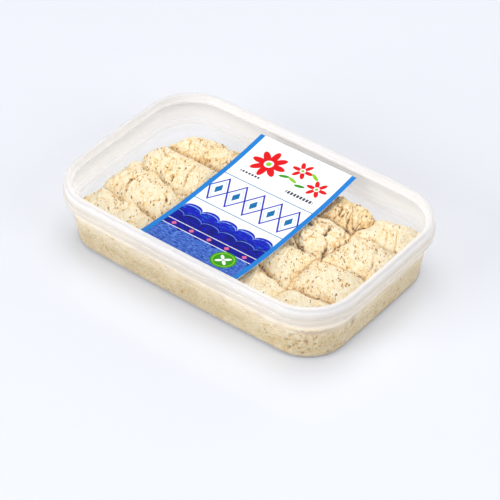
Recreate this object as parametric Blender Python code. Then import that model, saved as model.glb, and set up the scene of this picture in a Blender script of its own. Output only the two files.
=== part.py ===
"""Lidded clear tub of sesame halva: a tapered rectangular tub, a press-on lid with a raised rim and a dished
panel, a printed label on the lid, and one layer of hand-pulled halva pieces pressed together inside."""

import math

import bmesh
import bpy

# Driving dimensions, in metres. Insets are measured inwards from the lid's outermost outline.
LENGTH = 0.1774
WIDTH = 0.1146
HEIGHT = 0.0364
CORNER_RADIUS = 0.0267
SIDE_BOW = 0.0012          # how far the middle of each side stands out beyond its ends
GAP = 0.0003               # clearance between pieces that touch

# Outline resolution
CORNER_STEPS = 8
SIDE_STEPS = 4

# Lid
LID_WALL = 0.0008
SKIRT_BOTTOM = 0.0279
SKIRT_FOLD = 0.0310        # height of the fold between the skirt and the raised rim
FOLD_STEP = 0.0006         # how far the rim stands in from the skirt, and how high the fold is
CREST_INSET = 0.0030       # of the middle of the rim's rounded crest
CREST_RADIUS = 0.0022
CREST_OUTER_ANGLE = 170    # degrees, where the crest turns into the rim's outer side
CREST_INNER_ANGLE = 70     # degrees, where it turns into the inner side
RIM_FOOT_INSET = 0.0044    # foot of the rim's inner side
RIM_FOOT_HEIGHT = 0.0328
PANEL_HEIGHT = 0.0319      # panel's upper face where it meets the rim
PANEL_INSET = 0.0053
PANEL_SAG = 0.0034         # how far the panel's middle hangs below its edge
PANEL_RINGS = 4

# Tub
TUB_WALL = 0.0007
RIM_TOP = 0.0348
RIM_OUTER_INSET = 0.0019
RIM_INNER_INSET = 0.0026
RIM_CHAMFER = 0.0002
FLANGE_INSET = 0.0003
FLANGE_BOTTOM = 0.0264
LEDGE_HEIGHT = 0.0212      # small step round the wall
LEDGE_RISE = 0.0006
WALL_TOP_INSET = 0.0027
LEDGE_UPPER_INSET = 0.0034
LEDGE_LOWER_INSET = 0.0041
WALL_FOOT_INSET = 0.0066
FOOT_RADIUS = 0.0030
FOOT_STEPS = 3

# Label
LABEL_LENGTH = 0.0604      # along the tub's long side
LABEL_WIDTH = 0.0984       # across it
LABEL_CENTRE_X = 0.0017
LABEL_CENTRE_Y = -0.0004
LABEL_THICKNESS = 0.0003
LABEL_TURN = math.radians(0.8)
LABEL_COLUMNS = 6
LABEL_ROWS = 10

# Halva: four rows across the tub, six pieces in each
HALVA_SHOULDER = 0.0186    # height at which a piece's side turns into its domed top
HALVA_TOP = 0.0262
HALVA_UNEVEN = 0.0007
HALVA_SIDES = 16
CORNER_SEARCH = 180        # directions tried when a piece's corners are looked for
HALVA_FOOT = 0.0021        # height above which a piece's side is straight
LEAN_LEFT = 0.0080          # how far the block's left side stands in from the wall at the shoulder
LEAN_BACK = 0.0095          # the same for its back
BACK_SLOPE = 0.043          # the back stands in further at the left end than at the right
DOME_RINGS = (0.93, 0.76, 0.45)
DOME_POWER = 2.6
DOME_ROUNDNESS = 0.55
WAVES = 3                  # uneven waves round a piece's top
ROW_PHASE = 1.7
COLUMN_PHASE = 2.3
ROW_LINES = ((-0.0282, -0.009), (-0.0036, 0.0), (0.0212, 0.024))       # y at the middle, slope
COLUMN_LINES = (
    (-0.0500, -0.0250, 0.0010, 0.0260, 0.0490),
    (-0.0580, -0.0325, -0.0075, 0.0190, 0.0478),
    (-0.0520, -0.0270, -0.0020, 0.0225, 0.0492),
    (-0.0475, -0.0230, 0.0030, 0.0275, 0.0508),
)
COLUMN_SLOPES = (0.06, -0.05, 0.04, -0.03, 0.05)


def clear_scene():
    """Remove every object of the scene."""
    for item in list(bpy.data.objects):
        bpy.data.objects.remove(item, do_unlink=True)


def make_material(name, colour, roughness, transmission=0.0):
    """Return a Principled material."""
    material = bpy.data.materials.new(name)
    material.use_nodes = True
    shader = material.node_tree.nodes["Principled BSDF"]
    shader.inputs["Base Color"].default_value = (*colour, 1.0)
    shader.inputs["Roughness"].default_value = roughness
    shader.inputs["Metallic"].default_value = 0.0
    shader.inputs["Transmission Weight"].default_value = transmission
    material.diffuse_color = (*colour, 1.0)
    return material


def outline(inset):
    """Return the points of the bowed, rounded rectangle that lies inset inside the outermost outline."""
    half_x = LENGTH / 2 - SIDE_BOW - inset
    half_y = WIDTH / 2 - SIDE_BOW - inset
    radius = CORNER_RADIUS - inset
    corners = ((1, 1, 0), (-1, 1, 90), (-1, -1, 180), (1, -1, 270))
    points = []
    for sign_x, sign_y, start in corners:
        centre_x = sign_x * (half_x - radius)
        centre_y = sign_y * (half_y - radius)
        for step in range(CORNER_STEPS + 1):
            angle = math.radians(start + 90 * step / CORNER_STEPS)
            points.append((centre_x + radius * math.cos(angle), centre_y + radius * math.sin(angle)))
        along = half_x - radius if sign_x == sign_y else half_y - radius
        for step in range(1, SIDE_STEPS):
            shift = along * 2 * step / SIDE_STEPS
            if sign_x == sign_y:
                points.append((centre_x - sign_x * shift, sign_y * half_y))
            else:
                points.append((sign_x * half_x, centre_y - sign_y * shift))
    return [bow(x, y, half_x, half_y) for x, y in points]


def bow(x, y, half_x, half_y):
    """Move an outline point outwards, most at the middle of a side."""
    out_x = SIDE_BOW * (1 - (y / half_y) ** 2) * x / half_x
    out_y = SIDE_BOW * (1 - (x / half_x) ** 2) * y / half_y
    return x + out_x, y + out_y


def arc(centre, radius, start, end, steps):
    """Return the points of an arc in the (inset, height) section, angles in degrees from the inset axis."""
    points = []
    for step in range(steps + 1):
        angle = math.radians(start + (end - start) * step / steps)
        points.append((centre[0] + radius * math.cos(angle), centre[1] + radius * math.sin(angle)))
    return points


def add_ring(mesh, points, heights):
    """Add one ring of vertices and return them."""
    return [mesh.verts.new((x, y, z)) for (x, y), z in zip(points, heights)]


def join_rings(mesh, lower, upper):
    """Add the band of faces between two rings with the same number of vertices."""
    count = len(lower)
    for index in range(count):
        after = (index + 1) % count
        mesh.faces.new((lower[index], lower[after], upper[after], upper[index]))


def finish_object(mesh, name, material):
    """Turn a bmesh into a named object with outward faces and smooth shading."""
    bmesh.ops.recalc_face_normals(mesh, faces=mesh.faces)
    data = bpy.data.meshes.new(name)
    mesh.to_mesh(data)
    mesh.free()
    data.materials.append(material)
    data.shade_smooth()
    data.set_sharp_from_angle(angle=math.radians(35))
    item = bpy.data.objects.new(name, data)
    bpy.context.collection.objects.link(item)
    return item


def swept_section(mesh, section):
    """Sweep an open (inset, height) section round the outline; return its first and last rings."""
    rings = [add_ring(mesh, outline(inset), [height] * len(outline(inset))) for inset, height in section]
    for lower, upper in zip(rings, rings[1:]):
        join_rings(mesh, lower, upper)
    return rings[0], rings[-1]


def panel_drop(scale):
    """Return how far the panel hangs at a ring of the given scale, 1 at its edge and 0 in its middle."""
    return PANEL_SAG * (1 - scale ** 2)


def dish(mesh, edge_ring, inset, height):
    """Close a ring with a dished panel of shrinking rings that end in one middle vertex."""
    edge = outline(inset)
    outer = edge_ring
    for ring in range(1, PANEL_RINGS):
        scale = 1 - ring / PANEL_RINGS
        points = [(x * scale, y * scale) for x, y in edge]
        inner = add_ring(mesh, points, [height - panel_drop(scale)] * len(points))
        join_rings(mesh, outer, inner)
        outer = inner
    middle = mesh.verts.new((0, 0, height - panel_drop(0)))
    for index in range(len(outer)):
        mesh.faces.new((outer[index], outer[(index + 1) % len(outer)], middle))


def lid_section():
    """Return the lid's open section from the panel's upper edge over the rim and back to its lower edge."""
    crest = (CREST_INSET, HEIGHT - CREST_RADIUS)
    upper = [(PANEL_INSET, PANEL_HEIGHT), (RIM_FOOT_INSET, RIM_FOOT_HEIGHT)]
    upper += arc(crest, CREST_RADIUS, CREST_INNER_ANGLE, CREST_OUTER_ANGLE, 5)
    skirt = [(FOLD_STEP, SKIRT_FOLD), (0.0, SKIRT_FOLD - FOLD_STEP), (0.0, SKIRT_BOTTOM)]
    under = [(LID_WALL, SKIRT_BOTTOM), (FOLD_STEP + LID_WALL, SKIRT_FOLD)]
    under += arc(crest, CREST_RADIUS - LID_WALL, CREST_OUTER_ANGLE, 90, 3)
    under += [(RIM_FOOT_INSET - LID_WALL, PANEL_HEIGHT), (PANEL_INSET, PANEL_HEIGHT - LID_WALL)]
    return upper + skirt + under


def build_lid(material):
    """Build the press-on lid with its raised rim, skirt and dished panel."""
    mesh = bmesh.new()
    upper_edge, lower_edge = swept_section(mesh, lid_section())
    dish(mesh, upper_edge, PANEL_INSET, PANEL_HEIGHT)
    dish(mesh, lower_edge, PANEL_INSET, PANEL_HEIGHT - LID_WALL)
    return finish_object(mesh, "lid", material)


def wall_inset(height):
    """Return the inset of the tub's outer wall face at a height below its ledge."""
    share = height / LEDGE_HEIGHT
    return WALL_FOOT_INSET + (LEDGE_LOWER_INSET - WALL_FOOT_INSET) * share


def tub_section():
    """Return the tub's open section from the outer floor edge over its rim to the inner floor."""
    foot_centre = (wall_inset(FOOT_RADIUS) + FOOT_RADIUS, FOOT_RADIUS)
    ledge_bottom = LEDGE_HEIGHT - LEDGE_RISE / 2
    ledge_top = LEDGE_HEIGHT + LEDGE_RISE / 2
    flange_top = SKIRT_BOTTOM - GAP
    outer = arc(foot_centre, FOOT_RADIUS, 270, 180, FOOT_STEPS)
    outer += [
        (LEDGE_LOWER_INSET, ledge_bottom),
        (LEDGE_UPPER_INSET, ledge_top),
        (WALL_TOP_INSET, FLANGE_BOTTOM),
        (FLANGE_INSET, FLANGE_BOTTOM),
        (FLANGE_INSET, flange_top),
        (RIM_OUTER_INSET, flange_top),
        (RIM_OUTER_INSET, RIM_TOP - RIM_CHAMFER),
        (RIM_OUTER_INSET + RIM_CHAMFER, RIM_TOP),
    ]
    inner = [
        (RIM_INNER_INSET, RIM_TOP),
        (WALL_TOP_INSET + TUB_WALL, FLANGE_BOTTOM),
        (LEDGE_UPPER_INSET + TUB_WALL, ledge_top),
        (LEDGE_LOWER_INSET + TUB_WALL, ledge_bottom),
    ]
    inner += arc(foot_centre, FOOT_RADIUS - TUB_WALL, 180, 270, FOOT_STEPS)
    return outer + inner


def build_tub(material):
    """Build the open tub: floor, tapered wall with a small ledge, flange and rim."""
    mesh = bmesh.new()
    floor_outer, floor_inner = swept_section(mesh, tub_section())
    mesh.faces.new(floor_outer)
    mesh.faces.new(floor_inner)
    return finish_object(mesh, "tub", material)


def panel_height_at(x, y):
    """Return the height of the lid panel's upper face above a point."""
    edge = outline(PANEL_INSET)
    angle = math.atan2(y, x)
    reach = ray_reach((0.0, 0.0), angle, half_planes(edge))
    scale = min(1.0, math.hypot(x, y) / reach)
    return PANEL_HEIGHT - panel_drop(scale)


def build_label(material):
    """Build the thin label, curved to lie just above the dished panel."""
    mesh = bmesh.new()
    lower, upper = [], []
    for row in range(LABEL_ROWS + 1):
        low_row, up_row = [], []
        for column in range(LABEL_COLUMNS + 1):
            flat_x = (column / LABEL_COLUMNS - 0.5) * LABEL_LENGTH
            flat_y = (row / LABEL_ROWS - 0.5) * LABEL_WIDTH
            x = LABEL_CENTRE_X + flat_x * math.cos(LABEL_TURN) - flat_y * math.sin(LABEL_TURN)
            y = LABEL_CENTRE_Y + flat_x * math.sin(LABEL_TURN) + flat_y * math.cos(LABEL_TURN)
            z = panel_height_at(x, y) + GAP
            low_row.append(mesh.verts.new((x, y, z)))
            up_row.append(mesh.verts.new((x, y, z + LABEL_THICKNESS)))
        lower.append(low_row)
        upper.append(up_row)
    for row in range(LABEL_ROWS):
        for column in range(LABEL_COLUMNS):
            for sheet in (lower, upper):
                mesh.faces.new((sheet[row][column], sheet[row][column + 1],
                                sheet[row + 1][column + 1], sheet[row + 1][column]))
    join_rings(mesh, border(lower), border(upper))
    return finish_object(mesh, "label", material)


def border(grid):
    """Return the vertices round the edge of a grid, in order."""
    front = grid[0]
    right = [row[-1] for row in grid[1:]]
    back = grid[-1][-2::-1]
    left = [row[0] for row in grid[-2:0:-1]]
    return front + right + back + left


def half_planes(points):
    """Return the (normal, distance) half planes of a counter-clockwise convex outline."""
    planes = []
    for (ax, ay), (bx, by) in zip(points, points[1:] + points[:1]):
        length = math.hypot(bx - ax, by - ay)
        normal = ((by - ay) / length, (ax - bx) / length)
        planes.append((normal, normal[0] * ax + normal[1] * ay))
    return planes


def ray_reach(start, angle, planes):
    """Return how far a ray runs before it leaves a set of half planes."""
    toward = (math.cos(angle), math.sin(angle))
    reach = math.inf
    for normal, distance in planes:
        climb = normal[0] * toward[0] + normal[1] * toward[1]
        if climb > 1e-9:
            room = distance - normal[0] * start[0] - normal[1] * start[1]
            reach = min(reach, room / climb)
    return reach


def seam(point, slope_vector, side):
    """Return the half plane on one side of a seam line, half a gap away from it."""
    length = math.hypot(*slope_vector)
    normal = (side * slope_vector[1] / length, -side * slope_vector[0] / length)
    return normal, normal[0] * point[0] + normal[1] * point[1] - GAP / 2


def cell_planes(row, column):
    """Return the half planes between which one halva piece lies, without the tub's wall."""
    planes = []
    if row > 0:
        y, slope = ROW_LINES[row - 1]
        planes.append(seam((0, y), (1, slope), 1))
    if row < len(ROW_LINES):
        y, slope = ROW_LINES[row]
        planes.append(seam((0, y), (1, slope), -1))
    lines = COLUMN_LINES[row]
    middle = row_middle(row)
    if column > 0:
        planes.append(seam((lines[column - 1], middle), (COLUMN_SLOPES[column - 1], 1), -1))
    if column < len(lines):
        planes.append(seam((lines[column], middle), (COLUMN_SLOPES[column], 1), 1))
    return planes


def row_middle(row):
    """Return the y of the middle of a row."""
    edge = WIDTH / 2 - WALL_FOOT_INSET
    lines = [-edge] + [y for y, slope in ROW_LINES] + [edge]
    return (lines[row] + lines[row + 1]) / 2


def cell_centre(row, column):
    """Return a point well inside a cell."""
    edge = LENGTH / 2 - WALL_FOOT_INSET
    lines = (-edge,) + COLUMN_LINES[row] + (edge,)
    return (lines[column] + lines[column + 1]) / 2, row_middle(row)


def foot_squeeze(level):
    """Return how much further in the tub's inner face lies at a height within its rounded foot."""
    radius = FOOT_RADIUS - TUB_WALL
    rise = max(0.0, FOOT_RADIUS - level)
    return radius - math.sqrt(radius ** 2 - rise ** 2)


def halva_limits(level):
    """Return the half-planes round the whole block of halva at a height.

    The block fills the tub's foot and lies against the front and right walls; its left side and its back
    stand in from the flaring wall.
    """
    wall = outline(wall_inset(level) + TUB_WALL + GAP + foot_squeeze(level))
    share = level / HALVA_SHOULDER
    leaning = [(x + LEAN_LEFT * share, y + (BACK_SLOPE * x - LEAN_BACK) * share) for x, y in wall]
    return half_planes(wall) + half_planes(leaning)


def side_rings(mesh, centre, angles, seams):
    """Add the rings of a piece's sides, foot to shoulder; return them and the shoulder's points."""
    rings = []
    for level in (TUB_WALL + GAP, HALVA_FOOT, HALVA_SHOULDER):
        planes = seams + halva_limits(level)
        points = [polar(centre, angle, ray_reach(centre, angle, planes)) for angle in angles]
        rings.append(add_ring(mesh, points, [level] * HALVA_SIDES))
    return rings, points


def dome_rings(mesh, centre, angles, shoulder, apex, phase):
    """Add the rings of a piece's uneven domed top and return them."""
    rings = []
    for scale in DOME_RINGS:
        rise = (apex - HALVA_SHOULDER) * (1 - scale ** DOME_POWER) ** DOME_ROUNDNESS
        points = [(centre[0] + (x - centre[0]) * scale, centre[1] + (y - centre[1]) * scale)
                  for x, y in shoulder]
        heights = [HALVA_SHOULDER + rise + HALVA_UNEVEN * scale * math.sin(WAVES * angle + phase)
                   for angle in angles]
        rings.append(add_ring(mesh, points, heights))
    return rings


def ring_angles(centre, planes):
    """Return evenly spread directions round a cell, the nearest of them moved to each of its corners."""
    turns = [2 * math.pi * step / CORNER_SEARCH for step in range(CORNER_SEARCH)]
    reaches = [ray_reach(centre, turn, planes) for turn in turns]
    angles = [2 * math.pi * step / HALVA_SIDES for step in range(HALVA_SIDES)]
    for step, reach in enumerate(reaches):
        if reach >= reaches[step - 1] and reach > reaches[(step + 1) % CORNER_SEARCH]:
            nearest = round(step * HALVA_SIDES / CORNER_SEARCH) % HALVA_SIDES
            angles[nearest] = turns[step]
    return angles


def build_halva_piece(row, column, material):
    """Build one halva piece: flat sides against its neighbours and the wall, under an uneven domed top."""
    mesh = bmesh.new()
    centre = cell_centre(row, column)
    seams = cell_planes(row, column)
    angles = ring_angles(centre, seams + halva_limits(HALVA_SHOULDER))
    phase = row * ROW_PHASE + column * COLUMN_PHASE
    apex = HALVA_TOP + HALVA_UNEVEN * math.sin(phase)
    rings, shoulder = side_rings(mesh, centre, angles, seams)
    rings += dome_rings(mesh, centre, angles, shoulder, apex, phase)
    for lower, upper in zip(rings, rings[1:]):
        join_rings(mesh, lower, upper)
    mesh.faces.new(rings[0])
    top = mesh.verts.new((*centre, apex))
    for index in range(HALVA_SIDES):
        mesh.faces.new((rings[-1][index], rings[-1][(index + 1) % HALVA_SIDES], top))
    return finish_object(mesh, f"halva_row{row + 1}_piece{column + 1}", material)


def polar(centre, angle, reach):
    """Return the point at a distance and an angle from a centre."""
    return centre[0] + reach * math.cos(angle), centre[1] + reach * math.sin(angle)


def main():
    """Build every piece of the tub of halva."""
    clear_scene()
    clear_plastic = make_material("clear_plastic", (0.90, 0.92, 0.92), 0.12, 0.9)
    label_print = make_material("label_print", (0.62, 0.76, 0.92), 0.40)
    halva = make_material("halva", (0.88, 0.76, 0.56), 0.80)
    build_tub(clear_plastic)
    build_lid(clear_plastic)
    build_label(label_print)
    for row in range(len(ROW_LINES) + 1):
        for column in range(len(COLUMN_LINES[row]) + 1):
            build_halva_piece(row, column, halva)


main()
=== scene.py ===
"""Looks of a lidded tub of sesame halva: clear tub and lid, printed label, pulled halva and its crumbs."""

from __future__ import annotations

import logging
import math
from dataclasses import dataclass, field
from enum import Enum

import bmesh
import bpy
import numpy as np
from mathutils import Euler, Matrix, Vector


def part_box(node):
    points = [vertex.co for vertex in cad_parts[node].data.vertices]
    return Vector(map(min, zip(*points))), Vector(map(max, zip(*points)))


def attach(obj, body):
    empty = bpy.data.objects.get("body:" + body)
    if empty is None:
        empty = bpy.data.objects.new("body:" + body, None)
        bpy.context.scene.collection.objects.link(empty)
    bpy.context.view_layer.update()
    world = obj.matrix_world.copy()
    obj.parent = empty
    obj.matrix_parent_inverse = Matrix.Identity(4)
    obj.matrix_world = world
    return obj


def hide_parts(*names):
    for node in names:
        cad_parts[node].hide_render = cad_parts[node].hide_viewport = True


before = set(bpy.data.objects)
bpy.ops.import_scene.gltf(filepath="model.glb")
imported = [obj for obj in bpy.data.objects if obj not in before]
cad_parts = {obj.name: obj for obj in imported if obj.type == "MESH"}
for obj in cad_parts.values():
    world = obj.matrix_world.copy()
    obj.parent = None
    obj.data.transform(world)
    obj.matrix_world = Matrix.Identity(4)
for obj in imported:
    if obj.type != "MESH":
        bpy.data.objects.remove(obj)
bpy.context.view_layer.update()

log = logging.getLogger("halva_tub")

MM = 0.001
BODY = "root"

Point = tuple[float, float]
Colour = tuple[float, float, float]


# ---------------------------------------------------------------- node trees


class Wiring:
    """Adds nodes to one node tree and links them together."""

    def __init__(self, tree: bpy.types.NodeTree) -> None:
        """Keep the tree that nodes are added to.

        Args:
            tree: shader or geometry node tree.
        """
        self.tree = tree

    def set(self, socket: bpy.types.NodeSocket, value: object) -> None:
        """Link a socket to an input, or give the input a constant."""
        if isinstance(value, bpy.types.NodeSocket):
            self.tree.links.new(value, socket)
        elif socket.type == "RGBA" and len(value) == 3:
            socket.default_value = (*value, 1.0)
        else:
            socket.default_value = value

    def add(self, kind: str, values: dict | None = None, **settings: object) -> bpy.types.Node:
        """Add a node.

        Args:
            kind: Blender's class name of the node.
            values: input name or number to a constant or to a socket that feeds it.
            **settings: properties to set before the inputs.

        Returns:
            The new node.
        """
        node = self.tree.nodes.new(kind)
        for name, value in settings.items():
            setattr(node, name, value)
        for key, value in (values or {}).items():
            self.set(node.inputs[key], value)
        return node

    def math(self, operation: str, *values: object, clamp: bool = False) -> bpy.types.NodeSocket:
        """Return the result of a Math node on one to three values."""
        node = self.add("ShaderNodeMath", dict(enumerate(values)), operation=operation, use_clamp=clamp)
        return node.outputs[0]

    def product(self, *values: object) -> bpy.types.NodeSocket:
        """Return the product of two or more values."""
        result = values[0]
        for value in values[1:]:
            result = self.math("MULTIPLY", result, value)
        return result

    def vector(self, operation: str, *values: object) -> bpy.types.NodeSocket:
        """Return the vector result of a Vector Math node."""
        return self.add("ShaderNodeVectorMath", dict(enumerate(values)), operation=operation).outputs[0]

    def scaled(self, vector: bpy.types.NodeSocket, factor: object) -> bpy.types.NodeSocket:
        """Return a vector times one number, which may be a socket."""
        return self.add("ShaderNodeVectorMath", {0: vector, "Scale": factor}, operation="SCALE").outputs[0]

    def noise(self, vector: bpy.types.NodeSocket, scale: object, detail: float = 2.0,
              roughness: float = 0.5) -> bpy.types.NodeSocket:
        """Return a noise value from 0 to 1 at a vector."""
        values = {"Vector": vector, "Scale": scale, "Detail": detail, "Roughness": roughness}
        return self.add("ShaderNodeTexNoise", values).outputs["Fac"]

    def smooth(self, value: object, low: float, high: float, out_low: float = 0.0,
               out_high: float = 1.0) -> bpy.types.NodeSocket:
        """Return a smooth step of a value from low to high."""
        values = {"Value": value, "From Min": low, "From Max": high, "To Min": out_low, "To Max": out_high}
        return self.add("ShaderNodeMapRange", values, interpolation_type="SMOOTHSTEP").outputs[0]

    def blend(self, share: object, first: object, second: object) -> bpy.types.NodeSocket:
        """Return a mix of two colours; share 0 gives the first and 1 the second."""
        return self.add("ShaderNodeMix", {0: share, 6: first, 7: second}, data_type="RGBA").outputs[2]

    def named(self, attribute: str) -> bpy.types.NodeSocket:
        """Return a named attribute of the geometry, in a Geometry Nodes tree."""
        return self.add("GeometryNodeInputNamedAttribute", {"Name": attribute}, data_type="FLOAT").outputs[0]

    def carried(self, attribute: str) -> bpy.types.NodeSocket:
        """Return an attribute that the surface carries, in a material."""
        return self.add("ShaderNodeAttribute", attribute_name=attribute).outputs["Fac"]

    def finish(self, geometry: bpy.types.NodeSocket, material: bpy.types.NodeSocket,
               leave: bpy.types.Node) -> None:
        """End a Geometry Nodes tree with real geometry that has its material."""
        whole = self.add("GeometryNodeRealizeInstances", {"Geometry": geometry})
        dressed = self.add("GeometryNodeSetMaterial", {"Geometry": whole.outputs[0], "Material": material})
        self.set(leave.inputs["Geometry"], dressed.outputs[0])


def open_tree(name: str, kind: str, inputs: list[tuple],
              outputs: list[tuple]) -> tuple[Wiring, dict, bpy.types.Node]:
    """Start a node group with named sockets.

    Args:
        name: name of the group.
        kind: "ShaderNodeTree" or "GeometryNodeTree".
        inputs: (name, socket type, default or None) of each input.
        outputs: (name, socket type) of each output.

    Returns:
        The wiring, the input sockets by name and the group's output node.
    """
    tree = bpy.data.node_groups.new(name, kind)
    for label, socket_type, default in inputs:
        socket = tree.interface.new_socket(label, in_out="INPUT", socket_type=socket_type)
        if default is not None:
            socket.default_value = default
    for label, socket_type in outputs:
        tree.interface.new_socket(label, in_out="OUTPUT", socket_type=socket_type)
    wiring = Wiring(tree)
    entry = wiring.add("NodeGroupInput")
    leave = wiring.add("NodeGroupOutput")
    return wiring, {socket.name: socket for socket in entry.outputs if socket.name}, leave


def mottle_group() -> bpy.types.NodeTree:
    """Build the group that gives soft patches and a fine grain, for halva, flecks and crumbs.

    Returns:
        A shader group with Patches and Grain values from 0 to 1.
    """
    wiring, given, leave = open_tree(
        "soft_mottle", "ShaderNodeTree",
        [("Vector", "NodeSocketVector", None), ("Patch Size", "NodeSocketFloat", 6 * MM),
         ("Grain Size", "NodeSocketFloat", 0.6 * MM)],
        [("Patches", "NodeSocketFloat"), ("Grain", "NodeSocketFloat")])
    for size, detail, out in (("Patch Size", 3.0, "Patches"), ("Grain Size", 1.5, "Grain")):
        value = wiring.noise(given["Vector"], wiring.math("DIVIDE", 1.0, given[size]), detail)
        wiring.set(leave.inputs[out], wiring.smooth(value, 0.32, 0.68))
    return wiring.tree


def handling_group() -> bpy.types.NodeTree:
    """Build the group that gives the faint smears of handled plastic and coated paper.

    Returns:
        A shader group with one Smear value from 0 to 1.
    """
    wiring, given, leave = open_tree(
        "handling_smears", "ShaderNodeTree",
        [("Vector", "NodeSocketVector", None), ("Smear Size", "NodeSocketFloat", 20 * MM)],
        [("Smear", "NodeSocketFloat")])
    stretched = wiring.vector("MULTIPLY", given["Vector"], (1.0, 2.6, 1.0))
    value = wiring.noise(stretched, wiring.math("DIVIDE", 1.0, given["Smear Size"]), 5.0, 0.6)
    wiring.set(leave.inputs["Smear"], wiring.smooth(value, 0.35, 0.75))
    return wiring.tree


# ---------------------------------------------------------------- finishes


def new_material(name: str) -> tuple[bpy.types.Material, Wiring, bpy.types.Node, bpy.types.Node]:
    """Start a material.

    Args:
        name: name of the material.

    Returns:
        The material, its wiring, its Principled shader and its output node.
    """
    material = bpy.data.materials.new(name)
    material.use_nodes = True
    nodes = material.node_tree.nodes
    return material, Wiring(material.node_tree), nodes["Principled BSDF"], nodes["Material Output"]


def part(wiring: Wiring, tree: bpy.types.NodeTree, values: dict) -> bpy.types.Node:
    """Place a shader group in a material.

    Args:
        wiring: the material's wiring.
        tree: the group.
        values: input name to value or socket; "Vector" is the object's own coordinates unless given.

    Returns:
        The group's node.
    """
    node = wiring.tree.nodes.new("ShaderNodeGroup")
    node.node_tree = tree
    place = wiring.add("ShaderNodeTexCoord").outputs["Object"]
    for key, value in {"Vector": place, **values}.items():
        wiring.set(node.inputs[key], value)
    return node


@dataclass(frozen=True)
class ClearPlastic:
    """Clear moulded polypropylene: see-through where it is thin, milky where it is thick or seen edge on,
    with painted shade and painted warm light at given places.
    """

    name: str
    edge_haze: float = 0.35
    edge_power: float = 3.0
    roughness: float = 0.09
    glow_share: float = 0.42
    body: Colour = (0.995, 0.99, 0.995)
    # painted warm light: the tint that stands for the halva's light coming through the plastic
    painted_glow_colour: Colour = (0.995, 0.95, 0.885)
    # colour that painted shade darkens the plastic towards
    painted_shade_colour: Colour = (0.10, 0.085, 0.07)

    def build(self, smears: bpy.types.NodeTree) -> bpy.types.Material:
        """Build the material.

        Args:
            smears: the handling_smears group.

        Returns:
            The material. It reads three attributes: "milk", how milky the plastic is; "shade", how much
                painted shade darkens it; and a third, how much painted warm light from the halva tints it, at
                each place.
        """
        material, wiring, shader, output = new_material(self.name)
        smear = part(wiring, smears, {"Smear Size": 30 * MM}).outputs["Smear"]
        shade = wiring.carried("shade")
        painted_glow = wiring.carried("painted_glow")
        # the body takes painted warm light, then painted shade
        tint = wiring.blend(shade, wiring.blend(painted_glow, self.body, self.painted_glow_colour), self.painted_shade_colour)
        wiring.set(shader.inputs["Base Color"], tint)
        shader.inputs["IOR"].default_value = 1.49
        wiring.set(shader.inputs["Roughness"],
                   wiring.smooth(smear, 0.0, 1.0, self.roughness, self.roughness * 1.3))
        passing = wiring.add("ShaderNodeBsdfTranslucent", {"Color": tint})
        milky = wiring.add("ShaderNodeMixShader", {0: self.glow_share, 1: shader.outputs[0],
                                                   2: passing.outputs[0]})
        milk = wiring.carried("milk")
        facing = wiring.add("ShaderNodeLayerWeight", {"Blend": 0.5}).outputs["Facing"]
        edge = wiring.product(wiring.math("POWER", facing, self.edge_power), self.edge_haze)
        haze = wiring.product(milk, wiring.smooth(smear, 0.0, 1.0, 0.97, 1.03))
        share = wiring.math("ADD", haze, edge, clamp=True)
        clear = wiring.add("ShaderNodeBsdfTransparent")
        mix = wiring.add("ShaderNodeMixShader", {0: share, 1: clear.outputs[0], 2: milky.outputs[0]})
        wiring.set(output.inputs["Surface"], mix.outputs[0])
        return material


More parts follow.
